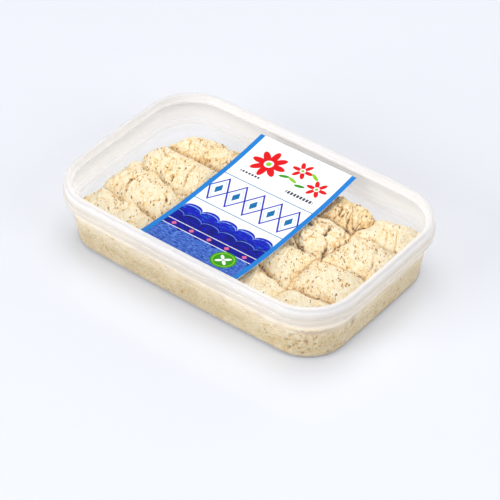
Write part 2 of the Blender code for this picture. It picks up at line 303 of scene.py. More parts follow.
@dataclass(frozen=True)
class HalvaFinish:
    """Dry, fibrous sesame sweet: pale on its grain, cream between, tan in its folds and pits; the pale on its
    high relief is painted highlight, and the tan and dark brown in its low places, seams and flanks are
    painted shade.
    """

    # pale is partly painted highlight on the high relief; tan and deep are painted shade in low places,
    # tears, seams and flanks
    pale: Colour = (0.995, 0.895, 0.66)
    cream: Colour = (0.97, 0.74, 0.39)
    tan: Colour = (0.73, 0.42, 0.125)
    deep: Colour = (0.10, 0.04, 0.01)
    # olive where a piece lies on the wall: partly the pressed halva's own tone, partly painted shade that
    # keeps those side faces darker than the tops
    olive: Colour = (0.43, 0.33, 0.165)
    olive_from: float = -20 * MM
    olive_to: float = 60 * MM
    patch_size: float = 6 * MM
    grain_size: float = 0.9 * MM

    def build(self, mottle: bpy.types.NodeTree) -> bpy.types.Material:
        """Build the material.

        Args:
            mottle: the soft_mottle group.

        Returns:
            The halva material, which reads the attributes "hollow" and "pressed" that each piece carries.
        """
        material, wiring, shader, _ = new_material("halva_crumbly")
        mottled = part(wiring, mottle, {"Patch Size": self.patch_size, "Grain Size": self.grain_size})
        patches, grain = mottled.outputs["Patches"], mottled.outputs["Grain"]
        # painted shade mask from the pieces: high in low relief, tears, pores, seams and flanks, plus each
        # piece's tone
        hollow = wiring.carried("hollow")
        pressed = wiring.carried("pressed")
        uneven = wiring.math("MULTIPLY_ADD", wiring.math("SUBTRACT", grain, 0.5), -0.34, hollow)
        uneven = wiring.math("MULTIPLY_ADD", wiring.math("SUBTRACT", patches, 0.5), -0.14, uneven)
        # painted highlight (pale) where the relief is high, painted shade (tan, then deep) where it is low;
        # grain and patches are the halva's own mottle
        colour = wiring.blend(wiring.smooth(uneven, 0.24, 0.56), self.pale, self.cream)
        colour = wiring.blend(wiring.smooth(uneven, 0.52, 0.90, 0.0, 0.9), colour, self.tan)
        colour = wiring.blend(wiring.smooth(hollow, 0.86, 1.0, 0.0, 0.9), colour, self.deep)
        place = wiring.add("ShaderNodeTexCoord").outputs["Object"]
        across = wiring.add("ShaderNodeSeparateXYZ", {0: place}).outputs[0]
        # olive on faces pressed to the wall, less of it towards +x and broken by patches and grain
        olive_share = wiring.product(pressed, wiring.smooth(across, self.olive_from, self.olive_to, 0.95, 0.80))
        olive_share = wiring.product(olive_share, wiring.smooth(patches, 0.2, 0.8, 1.0, 0.90))
        olive_share = wiring.product(olive_share, wiring.smooth(grain, 0.3, 0.7, 1.0, 0.84))
        colour = wiring.blend(olive_share, colour, self.olive)
        wiring.set(shader.inputs["Base Color"], colour)
        shader.inputs["Roughness"].default_value = 0.7
        shader.inputs["Specular IOR Level"].default_value = 0.3
        height = wiring.math("MULTIPLY_ADD", wiring.noise(place, 2300.0, 3.0, 0.6), 0.6, grain)
        bump = wiring.add("ShaderNodeBump", {"Strength": 0.9, "Distance": 0.25 * MM, "Height": height})
        wiring.set(shader.inputs["Normal"], bump.outputs[0])
        return material


@dataclass(frozen=True)
class GrainFinish:
    """Finish of what is scattered on the halva: bits of sesame hull, or loose crumbs."""

    name: str
    light: Colour
    dark: Colour
    roughness: float = 0.6

    def build(self, mottle: bpy.types.NodeTree) -> bpy.types.Material:
        """Build the material.

        Args:
            mottle: the soft_mottle group.

        Returns:
            A material that changes from grain to grain.
        """
        material, wiring, shader, _ = new_material(self.name)
        mottled = part(wiring, mottle, {"Patch Size": 2 * MM, "Grain Size": 0.3 * MM})
        colour = wiring.blend(mottled.outputs["Patches"], self.light, self.dark)
        colour = wiring.blend(wiring.product(mottled.outputs["Grain"], 0.3), colour, self.dark)
        wiring.set(shader.inputs["Base Color"], colour)
        shader.inputs["Roughness"].default_value = self.roughness
        shader.inputs["Specular IOR Level"].default_value = 0.1
        return material


class Ink(Enum):
    """Colours of the label's print."""

    PAPER = (0.98, 0.985, 0.985)
    STRIPE = (0.012, 0.20, 0.60)
    PALE_BLUE = (0.36, 0.55, 0.86)
    HILL = (0.004, 0.008, 0.44)
    NIGHT = (0.002, 0.004, 0.15)
    WATER = (0.006, 0.045, 0.36)
    FOAM = (0.14, 0.30, 0.78)
    TEAL = (0.002, 0.15, 0.38)
    RED = (0.70, 0.004, 0.008)
    GREEN = (0.035, 0.30, 0.004)
    LEAF = (0.24, 0.56, 0.02)
    CORAL = (0.72, 0.14, 0.26)
    GREY = (0.05, 0.055, 0.08)


@dataclass
class PrintedPaper:
    """Coated paper with a plain print of fields, scallops and flowers, laid out in millimetres."""

    width: float
    length: float
    stripe: float = 2.8
    soft: float = 0.16
    pitch: float = 10.96
    wiring: Wiring | None = None
    across: bpy.types.NodeSocket | None = None
    along: bpy.types.NodeSocket | None = None

    def inside(self, distance: object, soft: float | None = None) -> bpy.types.NodeSocket:
        """Return 1 where a signed distance in millimetres is below zero, with a soft edge."""
        edge = soft or self.soft
        return self.wiring.smooth(distance, -edge, edge, 1.0, 0.0)

    def local(self, centre: Point, turn: float = 0.0) -> tuple[bpy.types.NodeSocket, bpy.types.NodeSocket]:
        """Return coordinates from a shape's centre, turned by an angle in degrees."""
        east = self.wiring.math("SUBTRACT", self.across, centre[0])
        north = self.wiring.math("SUBTRACT", self.along, centre[1])
        if not turn:
            return east, north
        cosine, sine = math.cos(math.radians(turn)), math.sin(math.radians(turn))
        first = self.wiring.math("MULTIPLY_ADD", east, cosine, self.wiring.product(north, sine))
        second = self.wiring.math("MULTIPLY_ADD", north, cosine, self.wiring.product(east, -sine))
        return first, second

    def oval(self, centre: Point, half: Point, turn: float = 0.0) -> bpy.types.NodeSocket:
        """Return about the signed distance to an oval of the given half axes."""
        east, north = self.local(centre, turn)
        stretched = self.wiring.product(north, half[0] / half[1])
        squares = self.wiring.math("MULTIPLY_ADD", east, east, self.wiring.product(stretched, stretched))
        beyond = self.wiring.math("SUBTRACT", self.wiring.math("SQRT", squares), half[0])
        return self.wiring.product(beyond, min(1.0, half[1] / half[0]) ** 0.5)

    def block(self, centre: Point, half: Point, corner: float) -> bpy.types.NodeSocket:
        """Return the signed distance to a block with rounded corners."""
        parts = []
        for value, reach in zip(self.local(centre), half):
            off = self.wiring.math("SUBTRACT", self.wiring.math("ABSOLUTE", value), reach - corner)
            parts.append(self.wiring.math("MAXIMUM", off, 0.0))
        second = self.wiring.product(parts[1], parts[1])
        squares = self.wiring.math("MULTIPLY_ADD", parts[0], parts[0], second)
        return self.wiring.math("SUBTRACT", self.wiring.math("SQRT", squares), corner)

    def repeated(self, phase: float = 0.0) -> bpy.types.NodeSocket:
        """Return the distance across from the nearest of a row of evenly spaced middles, in millimetres."""
        shifted = self.wiring.math("ADD", self.across, phase + self.pitch / 2)
        wrapped = self.wiring.math("FLOORED_MODULO", shifted, self.pitch)
        return self.wiring.math("SUBTRACT", wrapped, self.pitch / 2)

    def scallops(self, foot: float, height: float, phase: float = 0.0) -> bpy.types.NodeSocket:
        """Return about the signed distance below a row of scallops that stand on a line."""
        share = self.wiring.product(self.repeated(phase), 2 / self.pitch)
        square = self.wiring.math("MULTIPLY_ADD", share, self.wiring.product(share, -1.0), 1.0)
        bow = self.wiring.math("SQRT", self.wiring.math("MAXIMUM", square, 0.0))
        return self.wiring.math("SUBTRACT", self.along, self.wiring.math("MULTIPLY_ADD", bow, height, foot))

    def lozenges(self, middle: float, half: Point) -> bpy.types.NodeSocket:
        """Return about the signed distance to a row of lozenges."""
        wiring = self.wiring
        east = wiring.product(wiring.math("ABSOLUTE", self.repeated()), 1 / half[0])
        off = wiring.math("ABSOLUTE", wiring.math("SUBTRACT", self.along, middle))
        north = wiring.product(off, 1 / half[1])
        beyond = wiring.math("SUBTRACT", wiring.math("ADD", east, north), 1.0)
        return wiring.product(beyond, half[0] * half[1] / math.hypot(*half))

    def line(self, distance: bpy.types.NodeSocket, half: float) -> bpy.types.NodeSocket:
        """Return the distance to a line drawn along a shape's edge."""
        return self.wiring.math("SUBTRACT", self.wiring.math("ABSOLUTE", distance), half)

    def streaks(self, wide: float, tall: float, detail: float = 4.0) -> bpy.types.NodeSocket:
        """Return noise in streaks of a given width and height in millimetres."""
        flat = self.wiring.add("ShaderNodeCombineXYZ", {0: self.wiring.product(self.across, 1 / wide),
                                                        1: self.wiring.product(self.along, 1 / tall)})
        return self.wiring.noise(flat.outputs[0], 1.0, detail, 0.65)

    def build(self, smears: bpy.types.NodeTree) -> bpy.types.Material:
        """Build the material.

        Args:
            smears: the handling_smears group.

        Returns:
            The printed paper, which reads the label's own UV map. The back, past the map's end, stays plain.
        """
        material, wiring, shader, _ = new_material("printed_paper")
        self.wiring = wiring
        flat = wiring.add("ShaderNodeUVMap", uv_map="print").outputs["UV"]
        split = wiring.add("ShaderNodeSeparateXYZ", {0: flat})
        self.across = wiring.product(wiring.math("SUBTRACT", split.outputs[0], 0.5), self.width)
        self.along = wiring.product(wiring.math("SUBTRACT", split.outputs[1], 0.5), self.length)
        colour = self.marks(self.ground())
        edge = wiring.math("SUBTRACT", self.width / 2 - self.stripe, wiring.math("ABSOLUTE", self.across))
        colour = wiring.blend(self.inside(edge), colour, Ink.STRIPE.value)
        back = wiring.math("GREATER_THAN", split.outputs[0], 1.5)
        wiring.set(shader.inputs["Base Color"], wiring.blend(back, colour, Ink.PAPER.value))
        smear = part(wiring, smears, {"Smear Size": 20 * MM}).outputs["Smear"]
        wiring.set(shader.inputs["Roughness"], wiring.smooth(smear, 0.0, 1.0, 0.45, 0.6))
        shader.inputs["Specular IOR Level"].default_value = 0.15
        return material

    def ground(self) -> bpy.types.NodeSocket:
        """Return the print's ground: white above, and streaked blue bands with scalloped edges below."""
        wiring = self.wiring
        colour = wiring.blend(wiring.smooth(self.along, -18.0, 8.0, 0.10, 0.0), Ink.PAPER.value,
                              Ink.PALE_BLUE.value)
        grain = self.streaks(5.0, 1.3)
        fine = self.streaks(2.4, 0.6)
        layers = (
            (self.scallops(-17.6, 3.4), grain, 0.50, 0.72, Ink.HILL, Ink.STRIPE, 0.8),
            (self.scallops(-24.2, 3.2, self.pitch / 2), grain, 0.40, 0.66, Ink.NIGHT, Ink.HILL, 1.0),
            (self.scallops(-37.6, 2.6), fine, 0.40, 0.66, Ink.WATER, Ink.FOAM, 0.95),
        )
        for distance, noise, low, high, ink, light, share in layers:
            tone = wiring.blend(wiring.smooth(noise, low, high, 0.0, share), ink.value, light.value)
            colour = wiring.blend(self.inside(distance), colour, tone)
        crests = (
            (self.scallops(-18.9, 3.0), Ink.PALE_BLUE),
            (self.scallops(-25.4, 2.9, self.pitch / 2), Ink.FOAM),
        )
        worn = wiring.smooth(grain, 0.30, 0.52)
        for distance, ink in crests:
            drawn = wiring.product(self.inside(self.line(distance, 0.22)), worn)
            colour = wiring.blend(drawn, colour, ink.value)
        return colour

    def petals(self, centre: Point, radius: float, half: Point, count: int,
               start: float) -> list[bpy.types.NodeSocket]:
        """Return the distances to a ring of petals.

        Args:
            centre: middle of the flower.
            radius: how far the petals' middles lie from it.
            half: half length and half width of a petal.
            count: number of petals.
            start: direction of the first one, in degrees.

        Returns:
            About the signed distance to each petal.
        """
        found = []
        for step in range(count):
            turn = 360.0 * step / count + start
            east, north = math.cos(math.radians(turn)), math.sin(math.radians(turn))
            found.append(self.oval((centre[0] + radius * east, centre[1] + radius * north), half, turn))
        return found

    def marks(self, colour: bpy.types.NodeSocket) -> bpy.types.NodeSocket:
        """Return the ground with the plain ornaments printed over it.

        Args:
            colour: the ground's colour.

        Returns:
            The colour with a border of lozenges, red flowers, green sprigs, rows of beads and ticks.
        """
        wiring = self.wiring
        lattice = self.lozenges(3.0, (self.pitch / 2, 9.5))
        beads = self.lozenges(-32.6, (1.5, 1.5))
        shapes = [
            (self.line(lattice, 0.45), Ink.HILL),
            (self.line(wiring.math("ADD", lattice, 1.35), 0.18), Ink.PALE_BLUE),
            (self.lozenges(3.0, (2.0, 3.9)), Ink.TEAL),
            (beads, Ink.CORAL),
        ]
        rules = (
            (15.3, 0.28, Ink.TEAL), (-9.3, 0.28, Ink.TEAL),
            (-30.2, 0.20, Ink.PAPER), (-35.0, 0.20, Ink.PAPER),
        )
        for height, half, ink in rules:
            shapes.append((self.line(wiring.math("SUBTRACT", self.along, height), half), ink))
        for centre, size, count in (((-13.0, 33.0), 1.0, 8), ((4.5, 38.4), 0.62, 6), ((18.5, 31.2), 0.62, 6)):
            petals = self.petals(centre, 5.6 * size, (4.3 * size, 1.95 * size), count, 0.0)
            shapes += [(petal, Ink.RED) for petal in petals]
            shapes += [(self.oval(centre, (half * size, half * size)), ink)
                       for half, ink in ((2.6, Ink.PAPER), (1.5, Ink.LEAF))]
        for x, y, turn in ((-1.0, 30.0, 18.0), (4.2, 30.0, -16.0), (9.8, 28.2, 12.0), (12.6, 38.0, -30.0)):
            shapes.append((self.oval((x, y), (3.0, 1.0), turn), Ink.GREEN if turn > 0 else Ink.LEAF))
        disc = (15.5, -41.0)
        for half, ink in ((6.6, Ink.GREEN), (5.7, Ink.LEAF), (5.1, Ink.GREEN)):
            shapes.append((self.oval(disc, (half, half)), ink))
        shapes += [(petal, Ink.PAPER) for petal in self.petals(disc, 2.3, (1.9, 0.85), 4, 45.0)]
        for distance, ink in shapes:
            colour = wiring.blend(self.inside(distance), colour, ink.value)
        gaps = wiring.smooth(wiring.math("SINE", wiring.product(self.across, 3.3)), -0.75, -0.45)
        for centre, half in (((14.6, 21.6), (8.4, 1.1)), ((-16.4, 21.6), (6.0, 0.7))):
            mask = wiring.product(self.inside(self.block(centre, half, 0.3)), gaps)
            colour = wiring.blend(mask, colour, Ink.GREY.value)
        return colour


# ---------------------------------------------------------------- shapes shared by the pieces


@dataclass(frozen=True)
class Outline:
    """Bowed, rounded rectangle seen from above, from which every level of the tub and lid is inset."""

    length: float
    width: float
    corner: float = 26.7 * MM
    bow: float = 1.2 * MM
    corner_steps: int = 20
    side_steps: int = 14

    def ring(self, inset: float) -> np.ndarray:
        """Return the outline's points at an inset.

        Args:
            inset: distance inwards, in metres.

        Returns:
            An array of (x, y) points, anticlockwise.
        """
        half_x = self.length / 2 - self.bow - inset
        half_y = self.width / 2 - self.bow - inset
        radius = self.corner - inset
        points = []
        for sign_x, sign_y, start in ((1, 1, 0), (-1, 1, 90), (-1, -1, 180), (1, -1, 270)):
            centre = (sign_x * (half_x - radius), sign_y * (half_y - radius))
            for step in range(self.corner_steps + 1):
                angle = math.radians(start + 90 * step / self.corner_steps)
                points.append((centre[0] + radius * math.cos(angle), centre[1] + radius * math.sin(angle)))
            for step in range(1, self.side_steps):
                share = 2 * step / self.side_steps
                if sign_x == sign_y:
                    points.append((centre[0] * (1 - share), sign_y * half_y))
                else:
                    points.append((sign_x * half_x, centre[1] * (1 - share)))
        flat = np.array(points)
        share = flat / (half_x, half_y)
        return flat + self.bow * (1 - share[:, ::-1] ** 2) * share

    def reach(self, centre: Point, angles: np.ndarray, inset: float) -> np.ndarray:
        """Return how far rays from a point run before they leave the outline.

        Args:
            centre: start of the rays.
            angles: directions of the rays.
            inset: inset of the outline.

        Returns:
            One distance for each ray.
        """
        ring = self.ring(inset)
        edge = np.roll(ring, -1, axis=0) - ring
        normal = np.stack([edge[:, 1], -edge[:, 0]], 1)
        normal /= np.linalg.norm(normal, axis=1)[:, None]
        room = np.einsum("ij,ij->i", normal, ring - np.array(centre))
        climb = np.stack([np.cos(angles), np.sin(angles)], 1) @ normal.T
        return np.where(climb > 1e-9, room / np.maximum(climb, 1e-9), np.inf).min(axis=1)


def rounded(points: list[tuple[float, float, float]], steps: int = 4) -> list[Point]:
    """Round the corners of an open section.

    Args:
        points: (inset, height, fillet radius) of each corner, in metres.
        steps: pieces in each fillet.

    Returns:
        The section with a curve at each corner that has a radius.
    """
    section: list[Point] = []
    for index, (inset, height, radius) in enumerate(points):
        here = Vector((inset, height))
        if radius == 0 or index in (0, len(points) - 1):
            section.append((inset, height))
            continue
        before = Vector(points[index - 1][:2]) - here
        after = Vector(points[index + 1][:2]) - here
        half_angle = before.angle(after) / 2
        cut = min(radius / math.tan(half_angle), before.length * 0.48, after.length * 0.48)
        start, end = here + before.normalized() * cut, here + after.normalized() * cut
        for step in range(steps + 1):
            share = step / steps
            point = start.lerp(here, share).lerp(here.lerp(end, share), share)
            section.append((point.x, point.y))
    return section


def arc(centre: Point, radius: float, start: float, end: float, steps: int) -> list[Point]:
    """Return the points of an arc; angles are in degrees from the inset axis."""
    angles = [math.radians(start + (end - start) * step / steps) for step in range(steps + 1)]
    return [(centre[0] + radius * math.cos(angle), centre[1] + radius * math.sin(angle)) for angle in angles]


def skin(name: str, rings: np.ndarray, tips: tuple, material: bpy.types.Material,
         marks: dict[str, np.ndarray], sharp_angle: float = 40.0) -> bpy.types.Object:
    """Skin a stack of rings into a closed piece.

    Args:
        name: name of the piece.
        rings: array of levels, points round and coordinates; the face of each band is on its outer side.
        tips: the points that close the first and the last ring.
        material: finish of the piece.
        marks: attribute name to one value for each point, the tips last.
        sharp_angle: degrees above which an edge stays sharp.

    Returns:
        The new object, linked to the scene.
    """
    levels, around, _ = rings.shape
    points = np.vstack([rings.reshape(-1, 3), *tips])
    index = np.arange(levels * around).reshape(levels, around)
    after = np.roll(index, -1, axis=1)
    quads = np.stack([index[:-1], after[:-1], after[1:], index[1:]], -1).reshape(-1, 4)
    first, last = np.full(around, levels * around), np.full(around, levels * around + 1)
    caps = np.vstack([np.stack([after[0], index[0], first], 1), np.stack([index[-1], after[-1], last], 1)])
    data = bpy.data.meshes.new(name)
    data.from_pydata(points.tolist(), [], quads.tolist() + caps.tolist())
    for label, values in marks.items():
        data.attributes.new(label, "FLOAT", "POINT").data.foreach_set("value", values.ravel())
    data.materials.append(material)
    data.shade_smooth()
    data.set_sharp_from_angle(angle=math.radians(sharp_angle))
    return placed(name, data)


def placed(name: str, data: bpy.types.ID) -> bpy.types.Object:
    """Put a new object with the given data into the scene."""
    item = bpy.data.objects.new(name, data)
    bpy.context.scene.collection.objects.link(item)
    return item


def grown(source: bpy.types.Object, tree: bpy.types.NodeTree, sizes: dict, name: str) -> bpy.types.Object:
    """Run a Geometry Nodes tree on an object and keep the result as a plain mesh.

    Args:
        source: object that the tree starts from; it is removed.
        tree: the tree.
        sizes: input name to value.
        name: name of the new piece.

    Returns:
        The new object.
    """
    modifier = source.modifiers.new("grow", "NODES")
    modifier.node_group = tree
    for item in tree.interface.items_tree:
        if item.item_type == "SOCKET" and item.in_out == "INPUT" and item.name in sizes:
            modifier[item.identifier] = sizes[item.name]
    source.update_tag()
    depsgraph = bpy.context.evaluated_depsgraph_get()
    data = bpy.data.meshes.new_from_object(source.evaluated_get(depsgraph), depsgraph=depsgraph)
    data.name = name
    bpy.data.objects.remove(source, do_unlink=True)
    return placed(name, data)


def graded(height: np.ndarray, levels: tuple[Point, ...]) -> np.ndarray:
    """Return values that change evenly between levels.

    Args:
        height: heights, in metres.
        levels: (height in millimetres, value), from the lowest up.

    Returns:
        The value at each height.
    """
    at, values = zip(*levels)
    return np.interp(height, np.array(at) * MM, values)


# ---------------------------------------------------------------- tub and lid


@dataclass
class Moulding:
    """A moulded shell: a section carried round the outline, closed by flat or dished middles."""

    outline: Outline
    middle_rings: int = 14

    def section(self) -> list[Point]:
        """Return the section, from the underside's edge round to the upper side's edge."""
        raise NotImplementedError

    def milk(self, inset: np.ndarray, height: np.ndarray) -> np.ndarray:
        """Return how milky the plastic is at places of the section."""
        raise NotImplementedError

    def shade(self, inset: np.ndarray, height: np.ndarray) -> np.ndarray:
        """Return how much painted shade darkens the plastic at places of the section."""
        raise NotImplementedError

    def painted_glow(self, inset: np.ndarray, height: np.ndarray) -> np.ndarray:
        """Return how much painted warm light, standing for the halva's light, tints the plastic at places of
        the section.
        """
        return np.zeros(len(inset))

    def drop(self, scale: float) -> float:
        """Return how far the middle hangs at a share of the way from the centre to its edge."""
        return 0.0

    def shell(self, name: str, plastic: bpy.types.Material) -> bpy.types.Object:
        """Build the shell.

        Args:
            name: name of the piece.
            plastic: its finish.

        Returns:
            The shell's object.
        """
        section = self.section()
        rings = []
        for inset, height in section:
            ring = self.outline.ring(inset)
            rings.append(np.column_stack([ring, np.full(len(ring), height)]))
        where = np.array(section).T
        marks = {"milk": self.milk(*where), "shade": self.shade(*where), "painted_glow": self.painted_glow(*where)}
        steps = [1 - step / self.middle_rings for step in range(1, self.middle_rings)]
        below = [self.shrunk(rings[0], scale) for scale in steps]
        above = [self.shrunk(rings[-1], scale) for scale in steps]
        stack = np.array(below[::-1] + rings + above)
        tips = [np.array([0.0, 0.0, ring[0, 2] - self.drop(0.0)]) for ring in (rings[0], rings[-1])]
        for label, values in marks.items():
            levels = np.concatenate([[values[0]] * len(below), values, [values[-1]] * len(above)])
            marks[label] = np.append(np.repeat(levels, stack.shape[1]), [values[0], values[-1]])
        return skin(name, stack, tips, plastic, marks)

    def shrunk(self, ring: np.ndarray, scale: float) -> np.ndarray:
        """Return a ring drawn in towards the middle, hanging by the shell's drop."""
        return np.column_stack([ring[:, :2] * scale, ring[:, 2] - self.drop(scale)])


@dataclass
class TubShell(Moulding):
    """The tub: floor, rounded foot, tapered wall with a ledge, thin flange and the rim inside the lid."""

    wall: float = 0.7 * MM
    foot_inset: float = 6.6 * MM
    foot_radius: float = 3.0 * MM
    foot_steps: int = 8
    ledge_height: float = 21.2 * MM
    ledge_lower: float = 4.1 * MM
    ledge_upper: float = 3.4 * MM
    ledge_rise: float = 0.6 * MM
    neck_inset: float = 2.7 * MM
    flange_inset: float = 0.3 * MM
    flange_bottom: float = 26.4 * MM
    flange_top: float = 27.6 * MM
    rim_outer: float = 1.9 * MM
    rim_inner: float = 2.6 * MM
    rim_top: float = 34.8 * MM
    longest_step: float = 1.5 * MM
    milk_levels: tuple = (
        (0, 0.95), (0.9, 0.95), (1.3, 0.9), (1.9, 0.55), (2.4, 0.45), (3, 0.3), (4, 0.08), (12, 0.06),
        (17, 0.2), (19.3, 0.38), (21.4, 0.5), (24, 0.34), (26.4, 0.38), (28, 0.36), (30, 0.42),
    )
    # painted shade: a painted contact shadow under the foot and painted shade in the gap below the lid's
    # skirt
    shade_levels: tuple = (
        (0, 0.95), (0.5, 0.92), (0.9, 0.88), (1.3, 0.66), (1.8, 0.10), (2.6, 0), (25.5, 0), (26.6, 0.12),
        (27.2, 0.32), (27.8, 0.10),
    )
    # painted warm light on the foot and on the wall above the halva
    painted_glow_levels: tuple = ((4, 1), (5, 0), (22, 0), (24, 1), (27, 1), (28, 0))

    def inset_at(self, height: float) -> float:
        """Return the inset of the wall's outer face at a height.

        Args:
            height: height above the surface that the tub stands on.

        Returns:
            The inset, in metres.
        """
        if height < self.foot_radius:
            curl = math.sqrt(max(self.foot_radius ** 2 - (self.foot_radius - height) ** 2, 0.0))
            return self.inset_at(self.foot_radius) + self.foot_radius - curl
        if height < self.ledge_height:
            return self.foot_inset + (self.ledge_lower - self.foot_inset) * height / self.ledge_height
        share = (height - self.ledge_height) / (self.flange_bottom - self.ledge_height)
        return self.ledge_upper + (self.neck_inset - self.ledge_upper) * min(share, 1.0)

    def section(self) -> list[Point]:
        """Return the section from the outer edge of the floor over the rim to its inner edge."""
        step = self.ledge_rise / 2
        centre = (self.inset_at(self.foot_radius) + self.foot_radius, self.foot_radius)
        outer_foot = arc(centre, self.foot_radius, 270, 180, self.foot_steps)
        inner_foot = arc(centre, self.foot_radius - self.wall, 180, 270, self.foot_steps)
        corners = [
            (*outer_foot[-1], 0.0),
            (self.ledge_lower, self.ledge_height - step, 0.3 * MM),
            (self.ledge_upper, self.ledge_height + step, 0.3 * MM),
            (self.neck_inset, self.flange_bottom, 0.4 * MM),
            (self.flange_inset, self.flange_bottom, 0.25 * MM),
            (self.flange_inset, self.flange_top, 0.25 * MM),
            (self.rim_outer, self.flange_top, 0.2 * MM),
            (self.rim_outer, self.rim_top, 0.3 * MM),
            (self.rim_inner, self.rim_top, 0.3 * MM),
            (self.neck_inset + self.wall, self.flange_bottom, 0.6 * MM),
            (self.ledge_upper + self.wall, self.ledge_height + step, 0.3 * MM),
            (self.ledge_lower + self.wall, self.ledge_height - step, 0.3 * MM),
            (*inner_foot[0], 0.0),
        ]
        section = outer_foot[:-1] + rounded(corners) + inner_foot[1:]
        return self.divided(section)

    def divided(self, section: list[Point]) -> list[Point]:
        """Return the section with its long walls cut into short steps, for the haze to change along."""
        result = [section[0]]
        for start, end in zip(section, section[1:]):
            steps = max(1, round(math.dist(start, end) / self.longest_step))
            for step in range(1, steps + 1):
                share = step / steps
                inset = start[0] + (end[0] - start[0]) * share
                result.append((inset, start[1] + (end[1] - start[1]) * share))
        return result

    def milk(self, inset: np.ndarray, height: np.ndarray) -> np.ndarray:
        """Return how milky the tub is: most in its foot, least in the wall and more towards the rim."""
        return graded(height, self.milk_levels)

    def shade(self, inset: np.ndarray, height: np.ndarray) -> np.ndarray:
        """Return how much painted shade the tub has: a painted contact shadow under its foot and a little
        painted shade in the gap below the lid.
        """
        return graded(height, self.shade_levels)

    def painted_glow(self, inset: np.ndarray, height: np.ndarray) -> np.ndarray:
        """Return how much painted warm light tints the tub: its foot and the wall above the halva get it."""
        return graded(height, self.painted_glow_levels)


@dataclass
class LidShell(Moulding):
    """The lid: skirt, fold, rounded rim and a panel that hangs in the middle."""

    height: float = 36.4 * MM
    skirt_bottom: float = 27.9 * MM
    wall: float = 0.8 * MM
    fold_height: float = 31.0 * MM
    fold_step: float = 0.6 * MM
    crest_inset: float = 3.0 * MM
    crest_radius: float = 2.2 * MM
    rim_foot: Point = (4.4 * MM, 32.8 * MM)
    panel_edge: Point = (5.3 * MM, 31.9 * MM)
    panel_sag: float = 3.4 * MM
    middle_rings: int = 22
    panel_milk: float = 0.03
    panel_clear: tuple = (4.2 * MM, 5.2 * MM)
    rim_milk: tuple = (
        (27.9, 0.45), (28.3, 0.70), (28.6, 0.98), (29.7, 0.98), (30.6, 0.70), (31.2, 0.58), (31.8, 0.75),
        (32.6, 0.92), (34.6, 0.85), (35.4, 0.55), (36.4, 0.60),
    )
    # painted shade: dark lines at the skirt's lower edge, the fold and the rim's shoulder
    rim_shade: tuple = (
        (27.9, 0.20), (28.4, 0), (30.0, 0), (30.7, 0.32), (31.4, 0.04), (33.6, 0), (34.9, 0.08), (35.8, 0.23),
        (36.15, 0.12), (36.35, 0.01),
    )
    # painted warm light on the skirt
    rim_painted_glow: tuple = ((30.2, 1), (32.6, 0))
    shaded_inset: float = 2.6 * MM
    painted_glow_inset: float = 1.7 * MM

    def section(self) -> list[Point]:
        """Return the section from the panel's lower edge over the rim to its upper edge."""
        crest = (self.crest_inset, self.height - self.crest_radius)
        over = arc(crest, self.crest_radius, 170, 70, 12)
        under = arc(crest, self.crest_radius - self.wall, 90, 170, 8)
        start = rounded([
            (self.panel_edge[0], self.panel_edge[1] - self.wall, 0.0),
            (self.rim_foot[0] - self.wall, self.panel_edge[1], 0.6 * MM),
            (*under[0], 0.0),
        ])
        skirt = rounded([
            (*under[-1], 0.0),
            (self.fold_step + self.wall, self.fold_height, 0.4 * MM),
            (self.wall, self.skirt_bottom, 0.25 * MM),
            (0.0, self.skirt_bottom, 0.25 * MM),
            (0.0, self.fold_height - self.fold_step, 0.3 * MM),
            (self.fold_step, self.fold_height, 0.3 * MM),
            (*over[0], 0.0),
        ])
        end = rounded([(*over[-1], 0.0), (*self.rim_foot, 0.8 * MM), (*self.panel_edge, 0.0)])
        return start[:-1] + under[:-1] + skirt[:-1] + over[:-1] + end

    def milk(self, inset: np.ndarray, height: np.ndarray) -> np.ndarray:
        """Return how milky the lid is: hardly at all in the panel, most in the rim."""
        rim_share = np.interp(inset, self.panel_clear, (1.0, 0.0))
        return rim_share * (graded(height, self.rim_milk) - self.panel_milk) + self.panel_milk

    def shade(self, inset: np.ndarray, height: np.ndarray) -> np.ndarray:
        """Return how much painted shade the lid has: dark lines painted at its lower edge, its fold and the
        shoulder of its rim.
        """
        return np.where(inset < self.shaded_inset, graded(height, self.rim_shade), 0.0)

    def painted_glow(self, inset: np.ndarray, height: np.ndarray) -> np.ndarray:
        """Return how much painted warm light tints the lid: its skirt gets it, where the halva's light comes
        through.
        """
        return np.where(inset < self.painted_glow_inset, graded(height, self.rim_painted_glow), 0.0)

    def drop(self, scale: float) -> float:
        """Return how far the panel hangs at a share of the way from its middle to its edge."""
        return self.panel_sag * (1 - scale ** 2)

    def panel_height(self, place: Point) -> float:
        """Return the height of the panel's upper face above a point.

        Args:
            place: the point's x and y.

        Returns:
            The height, in metres.
        """
        toward = np.array([math.atan2(place[1], place[0])])
        edge = self.outline.reach((0.0, 0.0), toward, self.panel_edge[0])[0]
        return self.panel_edge[1] - self.drop(min(1.0, math.hypot(*place) / edge))


